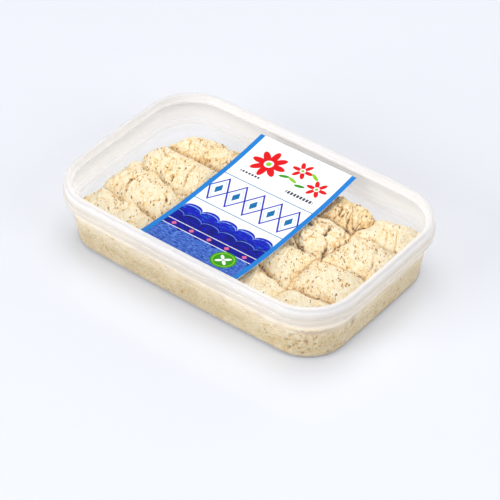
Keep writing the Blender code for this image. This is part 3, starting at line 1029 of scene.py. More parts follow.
@dataclass
class LabelSheet:
    """The paper label that lies on the lid's panel."""

    lid: LidShell
    width: float = 60.4 * MM
    length: float = 98.4 * MM
    centre: Point = (1.7 * MM, -0.4 * MM)
    turn: float = math.radians(0.8)
    thickness: float = 0.12 * MM
    lift: float = 0.06 * MM
    columns: int = 40
    rows: int = 64

    def build(self, paper: bpy.types.Material) -> bpy.types.Object:
        """Build the label, whose UV map covers its upper side and leaves the back outside the print.

        Args:
            paper: finish of the label.

        Returns:
            The label's object.
        """
        mesh = bmesh.new()
        layer = mesh.loops.layers.uv.new("print")
        sheets = [[[mesh.verts.new((*place, self.lid.panel_height(place) + rise)) for place in row]
                   for row in self.places()] for rise in (self.lift, self.lift + self.thickness)]
        for sheet, beyond in zip(sheets, (2.0, 0.0)):
            for row in range(self.rows):
                for column in range(self.columns):
                    corners = ((row, column), (row, column + 1), (row + 1, column + 1), (row + 1, column))
                    corners = corners[::-1] if beyond else corners
                    face = mesh.faces.new([sheet[r][c] for r, c in corners])
                    for loop, (r, c) in zip(face.loops, corners):
                        loop[layer].uv = (c / self.columns + beyond, r / self.rows)
        lower, upper = map(self.border, sheets)
        for index, vertex in enumerate(lower):
            after = (index + 1) % len(lower)
            edge = mesh.faces.new((vertex, lower[after], upper[after], upper[index]))
            for loop in edge.loops:
                loop[layer].uv = (2.0, 0.0)
        data = bpy.data.meshes.new("label_sheet")
        mesh.to_mesh(data)
        mesh.free()
        data.materials.append(paper)
        data.shade_smooth()
        data.set_sharp_from_angle(angle=math.radians(40.0))
        return placed("label_sheet", data)

    def places(self) -> list[list[Point]]:
        """Return the plan position of each grid point of the label, row by row."""
        grid = []
        cosine, sine = math.cos(self.turn), math.sin(self.turn)
        for row in range(self.rows + 1):
            y = (row / self.rows - 0.5) * self.length
            across = [(column / self.columns - 0.5) * self.width for column in range(self.columns + 1)]
            grid.append([(self.centre[0] + x * cosine - y * sine, self.centre[1] + x * sine + y * cosine)
                         for x in across])
        return grid

    @staticmethod
    def border(sheet: list[list]) -> list:
        """Return a sheet's edge vertices in order."""
        return (sheet[0] + [row[-1] for row in sheet[1:]] + sheet[-1][-2::-1]
                + [row[0] for row in sheet[-2:0:-1]])


# ---------------------------------------------------------------- halva


RELIEF_SIZES = ("Lump Height", "Fold Depth", "Step Height", "Crumb Height", "Fibre Height", "Pit Depth")


class Texture(Enum):
    """How a halva piece was torn: lump, fold, step, crumb, fibre and pit size (mm), and share of flecks."""

    MOUND = (1.0, 0.35, 0.15, 0.36, 0.30, 0.75, 0.55)
    SMOOTH = (0.8, 0.20, 0.10, 0.20, 0.18, 0.35, 0.4)
    SPECKLED = (0.8, 0.28, 0.15, 0.34, 0.30, 0.85, 1.0)
    FOLDED = (1.0, 0.45, 0.30, 0.30, 0.28, 0.60, 0.6)
    TORN = (1.2, 0.50, 0.50, 0.36, 0.30, 0.85, 0.6)

    @property
    def dome(self) -> tuple[float, float]:
        """Power and roundness of the top: low and near one for a mound, high for a flat top."""
        return (2.1, 0.74) if self is Texture.MOUND else (2.7, 0.70)


@dataclass(frozen=True)
class HalvaBlock:
    """One pulled piece, as it lies between its neighbours."""

    row: int
    column: int
    texture: Texture
    grain: float
    apex: float

    @property
    def node(self) -> str:
        """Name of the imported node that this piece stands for."""
        return f"halva_row{self.row + 1}_piece{self.column + 1}"

    @property
    def seed(self) -> float:
        """Number that sets this piece's relief apart from the others."""
        return self.row * 7.3 + self.column * 3.1 + 1.0


@dataclass(frozen=True)
class Tear:
    """A fold or a torn place, along a line over the halva, all in millimetres."""

    line: tuple[Point, ...]
    width: float
    depth: float

    def press(self, places: np.ndarray) -> np.ndarray:
        """Return how deep the tear is at each place.

        Args:
            places: plan positions, in metres.

        Returns:
            Depths, in metres.
        """
        nearest = np.full(len(places), np.inf)
        corners = np.array(self.line) * MM
        for start, end in zip(corners, corners[1:]):
            way = end - start
            share = np.clip((places - start) @ way / (way @ way), 0, 1)
            nearest = np.minimum(nearest, np.linalg.norm(places - start - share[:, None] * way, axis=1))
        return self.depth * MM * np.exp(-(nearest / (self.width * MM)) ** 2)


TEARS = (
    Tear(((-70, 9.2), (-68.5, 11), (-66, 11.8), (-63.5, 11.2), (-62, 10)), 0.45, 0.8),
    Tear(((-60.5, -8), (-62, -12), (-62.5, -16), (-62, -20), (-60, -24)), 0.8, 1.1),
    Tear(((-60, -30), (-57.5, -34), (-54, -39)), 0.6, 0.8),
    Tear(((-54, 16), (-54.5, 8), (-52, 2), (-49, -1)), 0.9, 0.7),
    Tear(((-44, 12), (-42, 4), (-39, -4), (-36, -8)), 0.6, 1.1),
    Tear(((-45, -10), (-41.5, -13), (-38, -18)), 0.55, 1.0),
    Tear(((-47, 36), (-43, 34), (-40, 30)), 0.5, 0.7),
    Tear(((-50, -27.5), (-46, -28), (-41, -28.5)), 0.7, 1.6),
    Tear(((-42, 19.5), (-39, 19)), 0.7, 1.8),
    Tear(((-49, 1.0), (-48.6, -0.4)), 0.8, 1.8),
    Tear(((41, 33), (42.5, 28), (45, 22), (48, 16.5)), 0.5, 1.4),
    Tear(((30, 38.5), (29, 34.5), (31, 31)), 0.55, 1.1),
    Tear(((36.5, 41), (38, 37), (41, 33)), 0.5, 1.0),
    Tear(((46, 39), (46.5, 31), (48.5, 24)), 0.7, 1.0),
    Tear(((27, 12.5), (31, 12)), 1.0, 2.8),
    Tear(((33, 15), (36, 18.5), (39.5, 18), (40.5, 13.5), (41, 9.8)), 0.6, 2.0),
    Tear(((41, 10), (40.5, 9)), 0.9, 2.0),
    Tear(((28, 1), (33, -2), (38, -3.5)), 0.8, 1.8),
    Tear(((46, 4), (48, -1), (49.5, -5.5)), 0.7, 1.8),
    Tear(((42.5, -8), (46, -12), (46.5, -19)), 0.9, 0.7),
    Tear(((26, -25), (32, -26.5), (39, -29)), 0.8, 1.6),
    Tear(((60, 34.5), (61, 31)), 0.45, 0.9),
    Tear(((69, 32), (72, 27), (74.5, 22)), 0.5, 1.0),
    Tear(((65, 29), (68, 24.5)), 0.45, 0.8),
    Tear(((71, 9), (74, 4), (73.5, 0)), 0.5, 1.0),
)


PULLS = (
    (-74.0, -5.0, 13.0, 0.0, 5.5), (-74.0, -28.0, 9.0, 0.0, 2.0), (-36.0, -29.0, 8.0, 0.0, -1.5),
    (-37.0, -7.0, 8.0, 0.0, -2.5), (47.0, -31.0, 6.0, 0.0, -3.0), (70.0, -30.0, 8.0, 0.0, 3.0),
    (46.5, -9.0, 7.0, -3.2, 0.0), (62.0, -4.0, 9.0, 0.0, 1.5), (52.0, 28.0, 7.0, -2.0, 0.0),
    (-75.0, -1.5, 5.0, 4.8, 0.0), (-76.0, -27.5, 4.5, 3.8, 0.0), (-74.0, 18.5, 5.5, 3.8, 0.0),
    (52.5, 43.0, 5.5, 0.0, -5.0),
)  # where a seam is pulled aside: x, y, reach and the shift east and north, in millimetres


PORES = (
    (300, "round", 19.5, 0.95, 0.9), (110, "right", 19.5, 1.0, 1.3), (110, "corner", 18.5, 1.1, 1.5),
    (30, "right", 19.5, 2.6, 0.5), (210, "front", 11.0, 0.85, 1.5), (30, "front", 14.0, 2.4, 0.45),
)  # pores that show through the wall: how many, where, and the highest, widest and deepest, in millimetres


@dataclass
class HalvaFill:
    """The halva: four rows of pressed pieces with domed, folded and pitted tops."""

    tub: TubShell
    row_lines: tuple = ((-28.2, -0.009), (-3.6, 0.0), (21.2, 0.024))
    column_lines: tuple = (
        (-50.0, -25.0, 1.0, 26.0, 49.0),
        (-58.0, -32.5, -7.5, 19.0, 47.8),
        (-52.0, -27.0, -2.0, 22.5, 49.2),
        (-47.5, -23.0, 3.0, 27.5, 50.8),
    )
    column_slopes: tuple = (0.06, -0.05, 0.04, -0.03, 0.05)
    tones: tuple = (
        (-0.08, -0.06, 0.0, 0.0, 0.0, 0.0),
        (-0.17, -0.14, 0.0, 0.0, 0.0, 0.0),
        (-0.02, 0.0, 0.0, -0.04, -0.04, 0.0),
        (0.15, 0.14, 0.05, 0.08, 0.24, -0.10),
    )
    textures: tuple = ("MMKKSS", "MMKKKK", "MMKKTK", "MMKKFS")
    row_shoulders: tuple = (
        (18.8, 19.2, 20.0, 20.0, 20.0, 20.4),
        (18.8, 19.0, 20.5, 20.5, 20.2, 21.2),
        (19.2, 19.6, 21.0, 21.0, 20.8, 21.8),
    )
    column_shoulders: tuple = (
        (25.2, 21.0, 21.0, 21.0, 22.8),
        (25.2, 21.0, 21.0, 21.0, 21.0),
        (25.2, 21.0, 21.0, 21.0, 20.0),
        (25.2, 21.0, 21.0, 21.0, 19.6),
    )
    floor: float = 0.35 * MM
    wall_shoulder: float = 20.6 * MM
    lean_shoulder: float = 14.5 * MM
    lean_height: float = 18.6 * MM
    lean_left: tuple = (5.6, 6.2, 7.6, 13.4)
    lean_back: float = 10.2 * MM
    back_slope: float = 0.05
    top: float = 26.2 * MM
    unevenness: float = 0.6 * MM
    around: int = 232
    side_rings: int = 36
    top_rings: int = 50
    wall_depth: float = 0.35 * MM
    sharp_corner: float = 60.0
    seam_corner: float = 14.0
    round_corner: float = 2.7
    top_height: float = 25.0 * MM
    level_count: int = 14
    parting_level: int = 8
    parting_power: float = 9.0
    tops_above: float = 17.0 * MM
    firm_height: float = 12.0 * MM
    half_fill: Point = (83.0, 51.0)
    held_below: float = 22.8
    held_fade: float = 2.4
    wander: float = 1.1 * MM
    blocks: list[HalvaBlock] = field(default_factory=list)

    def __post_init__(self) -> None:
        """List the pieces with their texture, grain direction and height."""
        kinds = {"M": Texture.MOUND, "S": Texture.SMOOTH, "K": Texture.SPECKLED, "F": Texture.FOLDED,
                 "T": Texture.TORN}
        random = np.random.default_rng(11)
        for row, letters in enumerate(self.textures):
            for column, letter in enumerate(letters):
                grain = math.radians(-32.0 + random.uniform(-14.0, 14.0))
                apex = self.top + random.uniform(-1.0, 1.0) * self.unevenness
                self.blocks.append(HalvaBlock(row, column, kinds[letter], grain, apex))

    def lean(self, block: HalvaBlock, middle: np.ndarray) -> np.ndarray:
        """Return how far a piece stands in from the left and the back wall at its shoulder."""
        return np.array([self.lean_left[block.row] * MM, self.back_slope * middle[0] - self.lean_back])

    def centre(self, block: HalvaBlock) -> np.ndarray:
        """Return a point in the middle of a piece."""
        edge_x = (self.tub.outline.length / 2 - self.tub.foot_inset) / MM
        edge_y = (self.tub.outline.width / 2 - self.tub.foot_inset) / MM
        across = [-edge_x, *self.column_lines[block.row], edge_x]
        x = (across[block.column] + across[block.column + 1]) / 2
        along = [-edge_y, *(line + slope * x for line, slope in self.row_lines), edge_y]
        middle = np.array([x, (along[block.row] + along[block.row + 1]) / 2]) * MM
        return middle + self.lean(block, middle) / 2 * (block.column == 0, block.row == 3)

    def seams(self, block: HalvaBlock) -> list[tuple[Point, Point, int, float]]:
        """Return the seams round a piece.

        Args:
            block: the piece.

        Returns:
            A point, a direction, the side that the piece is on and the shoulder's height, for each seam.
        """
        found = []
        for side, index in ((1, block.row - 1), (-1, block.row)):
            if 0 <= index < len(self.row_lines):
                height, slope = self.row_lines[index]
                shoulder = self.row_shoulders[index][block.column] * MM
                found.append(((0.0, height * MM), (1.0, slope), side, shoulder))
        middle = float(np.mean([line for line, _ in self.row_lines[max(block.row - 1, 0):block.row + 1]]))
        for side, index in ((-1, block.column - 1), (1, block.column)):
            if 0 <= index < len(self.column_slopes):
                shoulder = self.column_shoulders[block.row][index] * MM
                place = (self.column_lines[block.row][index] * MM, middle * MM)
                found.append((place, (self.column_slopes[index], 1.0), side, shoulder))
        return found

    def reaches(self, block: HalvaBlock, angles: np.ndarray, height: float) -> np.ndarray:
        """Return how far rays from a piece's middle run to each of its bounds.

        Args:
            block: the piece.
            angles: directions of the rays.
            height: height at which they run.

        Returns:
            A row of distances for the wall, the leaning side and each seam.
        """
        middle = self.centre(block)
        toward = np.stack([np.cos(angles), np.sin(angles)], 1)
        inset = self.tub.inset_at(height) + self.wall_depth
        lean = self.lean(block, middle) * height / self.lean_height
        gap = float(graded(height, ((14, 0.6 * MM), (20, 0.12 * MM))))
        parted_gap = float(graded(height, ((8, 0.6 * MM), (12, -0.35 * MM))))
        outline = self.tub.outline
        rows = [outline.reach(middle, angles, inset), outline.reach(middle - lean, angles, inset)]
        for place, way, side, shoulder in self.seams(block):
            normal = side * np.array([way[1], -way[0]]) / math.hypot(*way)
            parted = shoulder == self.row_shoulders[0][-1] * MM
            room = float(normal @ (np.array(place) - middle)) + (parted_gap if parted else gap)
            climb = toward @ normal
            rows.append(np.where(climb > 1e-6, room / np.maximum(climb, 1e-6), 10.0))
        return np.array(rows)

    def pores(self) -> np.ndarray:
        """Return the place, radius and depth of each pore that shows through the wall, in metres."""
        random = np.random.default_rng(23)
        corners = self.tub.outline.ring(self.tub.foot_inset - 1.5 * MM)
        corners = np.vstack([corners, corners[:1]])
        marks = np.append(0.0, np.cumsum(np.linalg.norm(np.diff(corners, axis=0), axis=1)))
        steps = np.arange(0, marks[-1], MM)
        ring = np.column_stack([np.interp(steps, marks, corners[:, axis]) for axis in (0, 1)])
        stretches = {
            "round": ring,
            "right": ring[(ring[:, 0] > 50 * MM) & (ring[:, 1] < 15 * MM)],
            "front": ring[ring[:, 1] < -45 * MM],
            "corner": ring[(ring[:, 0] > 62 * MM) & (ring[:, 1] < -30 * MM)],
        }
        found = []
        for count, stretch, top, widest, deepest in PORES:
            places = stretches[stretch]
            for _ in range(count):
                place = places[random.integers(len(places))] + random.normal(0, 1.5 * MM, 2)
                found.append((*place, random.uniform(1.5, top) * MM, random.uniform(0.37, 1.0) * widest * MM,
                              random.uniform(0.2, deepest) * MM))
        # One row runs under the shoulder round the corner, and one up the parted seam.
        radius = 20.5 * MM
        for step in range(9):
            turn = math.radians(-66 + step * 6.5)
            found.append((62 * MM + radius * math.cos(turn), -31.6 * MM + radius * math.sin(turn),
                          (18.9 + 0.5 * math.sin(step * 2.4)) * MM, 1.0 * MM, (1.7 - 0.1 * step) * MM))
        for step in range(6):
            found.append((83.9 * MM, (-23.6 + 0.5 * math.sin(step * 1.7)) * MM, (12.5 + 1.4 * step) * MM,
                          1.2 * MM, 2.0 * MM))
        return np.array(found)

    def pore_depth(self, points: np.ndarray) -> np.ndarray:
        """Return how deep the pores are at each point of a piece's side."""
        depth = np.zeros(len(points))
        for *place, radius, deep in self.pores():
            away = np.linalg.norm(points - place, axis=1)
            depth = np.maximum(depth, deep * np.exp(-(away / radius) ** 2))
        return depth

    def stray(self, places: np.ndarray, heights: np.ndarray) -> np.ndarray:
        """Return how far the seams wander sideways, alike for the pieces on both sides of them.

        Args:
            places: plan positions.
            heights: their heights.

        Returns:
            Sideways shifts, in metres, which fade out at the wall and towards the floor.
        """
        x, y = places[:, 0] / MM, places[:, 1] / MM
        room = 1 - np.maximum(np.abs(x) / self.half_fill[0], np.abs(y) / self.half_fill[1])
        firm = np.clip(heights / self.firm_height, 0.15, 1)
        fade = np.clip(room * 9, 0, 1) * firm
        east = np.sin(x / 5.1 + y / 3.7 + 0.7) + 0.6 * np.sin(y / 2.3 - x / 6.0 + 2.0)
        north = np.sin(x / 3.9 - y / 6.3 + 1.9) + 0.6 * np.sin(x / 2.1 + y / 5.4)
        shift = self.wander / 1.6 * fade[:, None] * np.stack([east, north], 1)
        for at_x, at_y, reach, east, north in PULLS:
            near = firm * np.exp(-((x - at_x) ** 2 + (y - at_y) ** 2) / reach ** 2)
            shift += near[:, None] * np.array([east, north]) * MM
        return shift

    def rays(self, block: HalvaBlock, angles: np.ndarray,
             levels: np.ndarray) -> tuple[np.ndarray, np.ndarray]:
        """Return how far a piece reaches along rays from its middle, and which bounds each ray meets.

        Args:
            block: the piece.
            angles: directions of the rays.
            levels: heights at which they run.

        Returns:
            A row of distances for each level, and a row of shares for the wall, the lean and each seam.
        """
        tables = [self.reaches(block, angles, level) for level in levels]
        nearness = tables[self.parting_level] ** -self.parting_power
        nearness /= nearness.sum(0)
        leaning = np.minimum(1, 2.2 * nearness[1])
        looseness = self.seam_corner + (self.round_corner - self.seam_corner) * leaning
        spans = []
        for table, share in zip(tables, np.linspace(0, 1, len(levels)) ** 1.5):
            corner = self.sharp_corner + (looseness - self.sharp_corner) * share
            closest = table.min(axis=0)
            spans.append(closest * ((table / closest) ** -corner).sum(0) ** (-1 / corner))
        return np.array(spans), nearness

    def core(self, block: HalvaBlock, material: bpy.types.Material) -> bpy.types.Object:
        """Build a piece before its relief.

        Args:
            block: the piece.
            material: finish of the halva.

        Returns:
            Its object, with the point attributes "free", "hollow" and "pressed".
        """
        angles = np.linspace(0, 2 * math.pi, self.around, endpoint=False)
        middle = self.centre(block)
        toward = np.stack([np.cos(angles), np.sin(angles)], 1)
        levels = np.linspace(self.floor, self.top_height, self.level_count)
        reach, nearness = self.rays(block, angles, levels)
        shoulders = [self.wall_shoulder, self.lean_shoulder, *(seam[3] for seam in self.seams(block))]
        shoulder = np.array(shoulders) @ nearness
        # how dark each seam's painted shade is: seams with lower shoulders get more
        depths = [float(np.interp(seam[3] / MM, [20.0, 24.0], [1.0, 0.0])) for seam in self.seams(block)]
        dark = np.array([0.0, 0.0, *depths]) @ nearness
        power, roundness = block.texture.dome
        rings, free, seam, flank = [], [], [], []
        columns = np.arange(self.around)
        for step in range(self.side_rings + 1):
            share = (step / self.side_rings) ** 0.85
            height = self.floor + (shoulder - self.floor) * share
            at = np.clip((height - levels[0]) / (levels[1] - levels[0]), 0, len(levels) - 1.001)
            low = at.astype(int)
            span = reach[low, columns] + (at - low) * (reach[low + 1, columns] - reach[low, columns])
            rings.append(np.column_stack([middle + toward * span[:, None], height]))
            free.append(np.full(self.around, 0.10 + 0.5 * share ** 3))
            seam.append(dark)
            flank.append(np.zeros(self.around))
        tilt = 0.5 * MM * np.cos(angles - block.seed)
        for step in range(1, self.top_rings):
            scale = 1 - (step / self.top_rings) ** 1.2
            rise = (block.apex - shoulder) * (1 - scale ** power) ** roundness
            height = shoulder + rise + tilt * scale * min(1.0, 5 * (1 - scale))
            rings.append(np.column_stack([middle + toward * (span * scale)[:, None], height]))
            free.append(np.full(self.around, min(1.0, 0.6 + 3 * (1 - scale))))
            # painted shade on each seam's lip and slope, and on the dome's flank
            lip, slope = np.clip((scale - 0.93) / 0.07, 0, 1), np.clip((scale - 0.7) / 0.3, 0, 1)
            seam.append(dark * (0.6 * lip + 0.4 * slope))
            flank.append(np.full(self.around, 0.10 * np.clip((scale - 0.5) / 0.5, 0, 1) ** 2))
        stack = np.array(rings)
        hollow, pressed = self.worn(block, stack, nearness, np.ravel(seam), np.ravel(flank))
        tips = (np.array([*middle, self.floor]), np.array([*middle, block.apex]))
        marks = {"free": np.append(np.ravel(free), [0.0, 1.0]), "hollow": np.append(hollow, [0.0, 0.0]),
                 "pressed": np.append(pressed, [0.0, 0.0])}
        return skin(f"core_{block.node}", stack, tips, material, marks, 180.0)

    def worn(self, block: HalvaBlock, stack: np.ndarray, nearness: np.ndarray, seam: np.ndarray,
             flank: np.ndarray) -> tuple[np.ndarray, np.ndarray]:
        """Let a piece's seams wander, press the tears and pores into it, and paint shade into its tears,
        pores, seams and flanks.

        Args:
            block: the piece.
            stack: its rings, which are changed.
            nearness: a row of shares in each ray for the wall, the lean and each seam.
            seam: how much painted shade from a seam each point has.
            flank: how much painted shade each point has on the flank of its dome.

        Returns:
            The values of the attributes "hollow" and "pressed" at each point.
        """
        points, middle = stack.reshape(-1, 3), self.centre(block)
        points[:, :2] += self.stray(points[:, :2], points[:, 2])
        depth = np.sum([tear.press(points[:, :2]) for tear in TEARS], axis=0)
        depth = np.where(points[:, 2] > self.tops_above, depth, 0.0)
        points[:, 2] -= depth
        x, y, height = points.T / MM
        patchy = 0.5 + 0.5 * np.sin(x / 2.3 + 1.0) * np.sin(y / 1.9 + 2.0)
        # painted shade along the seams, patchy, only on the upper part
        border = seam * (0.22 + 0.3 * patchy) * np.clip((height - 14) / 5, 0, 1)
        hollow = np.maximum(border + flank + self.tones[block.row][block.column],
                            np.clip((depth / MM - 0.3) / 1.8, 0, 1))
        held = np.tile(np.minimum(1, 2.6 * nearness[0]), len(stack))
        held = held * np.clip((self.held_below - height) / self.held_fade, 0, 1)
        pore = self.pore_depth(points) * held
        outward = points[:, :2] - middle
        points[:, :2] -= (pore / np.linalg.norm(outward, axis=1))[:, None] * outward
        # painted shade in the pores that show through the wall
        hollow = np.maximum(hollow, np.clip(pore / (0.7 * MM), 0, 1))
        # more olive lower down: painted shade, darker towards the bottom of the wall faces
        return hollow, held * graded(points[:, 2], ((11, 1), (19, 0.66)))

    def relief_tree(self) -> bpy.types.NodeTree:
        """Build the Geometry Nodes tree that tears and folds a piece's surface.

        Returns:
            The tree; its inputs are the sizes of the relief, and it adds painted shade to the halva's shade
            attribute where the fine relief lies low, so that the high relief keeps its painted highlight.
        """
        names = (*RELIEF_SIZES, "Grain Turn", "Seed")
        wiring, given, leave = open_tree(
            "halva_relief", "GeometryNodeTree",
            [("Geometry", "NodeSocketGeometry", None)] + [(name, "NodeSocketFloat", 0.0) for name in names]
            + [("Material", "NodeSocketMaterial", None)],
            [("Geometry", "NodeSocketGeometry")])
        place = wiring.add("GeometryNodeInputPosition").outputs[0]
        normal = wiring.add("GeometryNodeInputNormal").outputs[0]
        free = wiring.named("free")
        apart = wiring.add("ShaderNodeCombineXYZ", {0: given["Seed"], 1: given["Seed"], 2: given["Seed"]})
        turned = wiring.add("ShaderNodeVectorRotate", {"Vector": place, "Angle": given["Grain Turn"]},
                            rotation_type="Z_AXIS").outputs[0]
        apart = wiring.vector("ADD", turned, wiring.vector("MULTIPLY", apart.outputs[0], (0.13, 0.29, 0.17)))
        swirl = wiring.add("ShaderNodeTexNoise", {"Vector": apart, "Scale": 95.0, "Detail": 2.0})
        swirl = wiring.vector("SUBTRACT", swirl.outputs["Color"], (0.5, 0.5, 0.5))
        swirl = wiring.scaled(swirl, 6 * MM)
        warped = wiring.vector("ADD", apart, swirl)
        lumps = wiring.math("SUBTRACT", wiring.noise(apart, 130.0, 2.0), 0.5)
        folds = wiring.noise(wiring.vector("MULTIPLY", warped, (1.0, 0.42, 0.8)), 170.0, 1.0)
        beside = wiring.math("SUBTRACT", folds, 0.5)
        crease = wiring.smooth(wiring.math("ABSOLUTE", beside), 0.0, 0.035, 1.0, 0.0)
        step = wiring.smooth(beside, -0.025, 0.025, -0.5, 0.5)
        crumbs = wiring.math("SUBTRACT", wiring.noise(apart, 560.0, 2.0, 0.6), 0.5)
        strands = wiring.vector("MULTIPLY", warped, (1.0, 0.33, 0.7))
        fibres = wiring.math("SUBTRACT", wiring.noise(strands, 780.0, 2.0, 0.6), 0.5)
        drawn_out = wiring.vector("MULTIPLY", warped, (1.0, 0.45, 1.0))
        cells = wiring.add("ShaderNodeTexVoronoi", {"Vector": drawn_out, "Scale": 430.0})
        chosen = wiring.smooth(wiring.add("ShaderNodeSeparateXYZ", {0: cells.outputs["Color"]}).outputs[0],
                               0.55, 0.75)
        pits = wiring.product(wiring.smooth(cells.outputs["Distance"], 0.08, 0.34, 1.0, 0.0), chosen)
        fine = wiring.product(crumbs, given["Crumb Height"], 3.2)
        for value, size, factor in ((fibres, "Fibre Height", 3.0), (crease, "Fold Depth", -1.0),
                                    (pits, "Pit Depth", -1.0)):
            fine = wiring.math("ADD", fine, wiring.product(value, given[size], factor))
        height = wiring.math("ADD", wiring.product(lumps, given["Lump Height"], 2.0),
                             wiring.product(step, given["Step Height"]))
        height = wiring.product(wiring.math("ADD", height, fine), free)
        moved = wiring.add("GeometryNodeSetPosition", {"Geometry": given["Geometry"],
                                                       "Offset": wiring.scaled(normal, height)})
        shown = wiring.product(fine, wiring.smooth(free, 0.0, 0.6, 0.5, 1.0))
        # painted shade where the fine relief lies low, none where it stands high
        deep = wiring.smooth(shown, 0.45 * MM, -0.85 * MM)
        hollow = wiring.math("ADD", deep, wiring.named("hollow"), clamp=True)
        kept = wiring.add("GeometryNodeStoreNamedAttribute",
                          {"Geometry": moved.outputs[0], "Name": "hollow", "Value": hollow},
                          data_type="FLOAT", domain="POINT")
        wiring.finish(kept.outputs[0], given["Material"], leave)
        return wiring.tree

    def build(self, material: bpy.types.Material) -> list[bpy.types.Object]:
        """Build every piece.

        Args:
            material: finish of the halva.

        Returns:
            The pieces, in the order of the blocks.
        """
        tree = self.relief_tree()
        pieces = []
        for block in self.blocks:
            sizes = {name: size * MM for name, size in zip(RELIEF_SIZES, block.texture.value)}
            sizes |= {"Grain Turn": block.grain, "Seed": block.seed, "Material": material}
            pieces.append(grown(self.core(block, material), tree, sizes, f"pulled_{block.node}"))
        return pieces

    def bed(self, pieces: list[bpy.types.Object], crevices: bool) -> bpy.types.Object:
        """Join the halva's surface into one mesh that grains are laid on.

        Args:
            pieces: the halva pieces.
            crevices: True to favour the hollows, False to follow each piece's own share of flecks.

        Returns:
            A temporary object with the point attribute "fleck".
        """
        points, faces, shares = [], [], []
        offset = 0
        for piece, block in zip(pieces, self.blocks):
            data = piece.data
            count = len(data.vertices)
            place, hollow = np.zeros(count * 3), np.zeros(count)
            data.vertices.foreach_get("co", place)
            data.attributes["hollow"].data.foreach_get("value", hollow)
            place = place.reshape(-1, 3)
            high = np.where(place[:, 2] > self.tops_above, 1.0, 0.15)
            value = np.clip((hollow - 0.6) * 3, 0, 1) if crevices else block.texture.value[-1] * high
            shares.append(np.where(place[:, 2] > 1.5 * MM, value, 0.0))
            points.append(place)
            faces += [[vertex + offset for vertex in polygon.vertices] for polygon in data.polygons]
            offset += count
        data = bpy.data.meshes.new("halva_bed")
        data.from_pydata(np.concatenate(points).tolist(), [], faces)
        data.attributes.new("fleck", "FLOAT", "POINT").data.foreach_set("value", np.concatenate(shares))
        return placed("halva_bed", data)


@dataclass
class Scatter:
    """Small things spread over the halva: bits of sesame hull or loose crumbs."""

    name: str
    density: float
    length: tuple[float, float]
    slimness: float
    seed: int

    def grain_mesh(self) -> bpy.types.Object:
        """Build one grain, one unit long, which the tree repeats."""
        mesh = bmesh.new()
        bmesh.ops.create_icosphere(mesh, subdivisions=1, radius=0.5)
        random = np.random.default_rng(self.seed)
        for vertex in mesh.verts:
            vertex.co *= random.uniform(0.8, 1.12)
            vertex.co.y *= self.slimness
            vertex.co.z *= self.slimness * 0.7
        data = bpy.data.meshes.new(f"{self.name}_grain")
        mesh.to_mesh(data)
        mesh.free()
        return placed(f"{self.name}_grain", data)

    def tree(self) -> bpy.types.NodeTree:
        """Build the Geometry Nodes tree that lays the grains along the halva's surface.

        Returns:
            The tree.
        """
        wiring, given, leave = open_tree(
            f"{self.name}_scatter", "GeometryNodeTree",
            [("Geometry", "NodeSocketGeometry", None), ("Grain", "NodeSocketObject", None),
             ("Density", "NodeSocketFloat", 1.0), ("Shortest", "NodeSocketFloat", 0.0),
             ("Longest", "NodeSocketFloat", 0.0), ("Grain Turn", "NodeSocketFloat", 0.0),
             ("Seed", "NodeSocketInt", 0), ("Material", "NodeSocketMaterial", None)],
            [("Geometry", "NodeSocketGeometry")])
        place = wiring.add("GeometryNodeInputPosition").outputs[0]
        clusters = wiring.smooth(wiring.noise(place, 130.0), 0.38, 0.62, 0.12, 1.8)
        density = wiring.product(wiring.named("fleck"), clusters, given["Density"])
        points = wiring.add("GeometryNodeDistributePointsOnFaces",
                            {"Mesh": given["Geometry"], "Density": density, "Seed": given["Seed"]})
        turn = wiring.math("ADD", given["Grain Turn"], self.draw(wiring, -0.45, 0.45, given["Seed"]))
        east, north = wiring.math("COSINE", turn), wiring.math("SINE", turn)
        way = wiring.add("ShaderNodeCombineXYZ", {0: east, 1: north, 2: 0.35})
        facing = wiring.add("FunctionNodeAxesToRotation",
                            {0: points.outputs["Normal"], 1: way.outputs[0]},
                            primary_axis="Z", secondary_axis="X")
        grain = wiring.add("GeometryNodeObjectInfo", {"Object": given["Grain"]})
        chance = wiring.math("POWER", self.draw(wiring, 0.0, 1.0, 3), 2.2)
        spread = wiring.math("SUBTRACT", given["Longest"], given["Shortest"])
        laid = wiring.add("GeometryNodeInstanceOnPoints",
                          {"Points": points.outputs["Points"], "Instance": grain.outputs["Geometry"],
                           "Rotation": facing.outputs[0],
                           "Scale": wiring.math("MULTIPLY_ADD", chance, spread, given["Shortest"])})
        wiring.finish(laid.outputs[0], given["Material"], leave)
        return wiring.tree

    @staticmethod
    def draw(wiring: Wiring, low: object, high: object, seed: object) -> bpy.types.NodeSocket:
        """Return a random value between two bounds for each grain."""
        node = wiring.add("FunctionNodeRandomValue", data_type="FLOAT")
        bounds = [socket for socket in node.inputs if socket.type == "VALUE"]
        wiring.set(bounds[0], low)
        wiring.set(bounds[1], high)
        wiring.set(node.inputs["Seed"], seed)
        return next(socket for socket in node.outputs if socket.type == "VALUE")

    def build(self, bed: bpy.types.Object, grain_turn: float,
              material: bpy.types.Material) -> bpy.types.Object:
        """Lay the grains on a bed.

        Args:
            bed: halva surface with the point attribute "fleck"; it is removed.
            grain_turn: direction that most of them lie along.
            material: their finish.

        Returns:
            All grains of this kind as one mesh.
        """
        grain = self.grain_mesh()
        shortest, longest = self.length
        sizes = {"Grain": grain, "Density": self.density, "Shortest": shortest, "Longest": longest,
                 "Grain Turn": grain_turn, "Seed": self.seed, "Material": material}
        piece = grown(bed, self.tree(), sizes, self.name)
        bpy.data.objects.remove(grain, do_unlink=True)
        piece.data.shade_smooth()
        return piece


# ---------------------------------------------------------------- studio


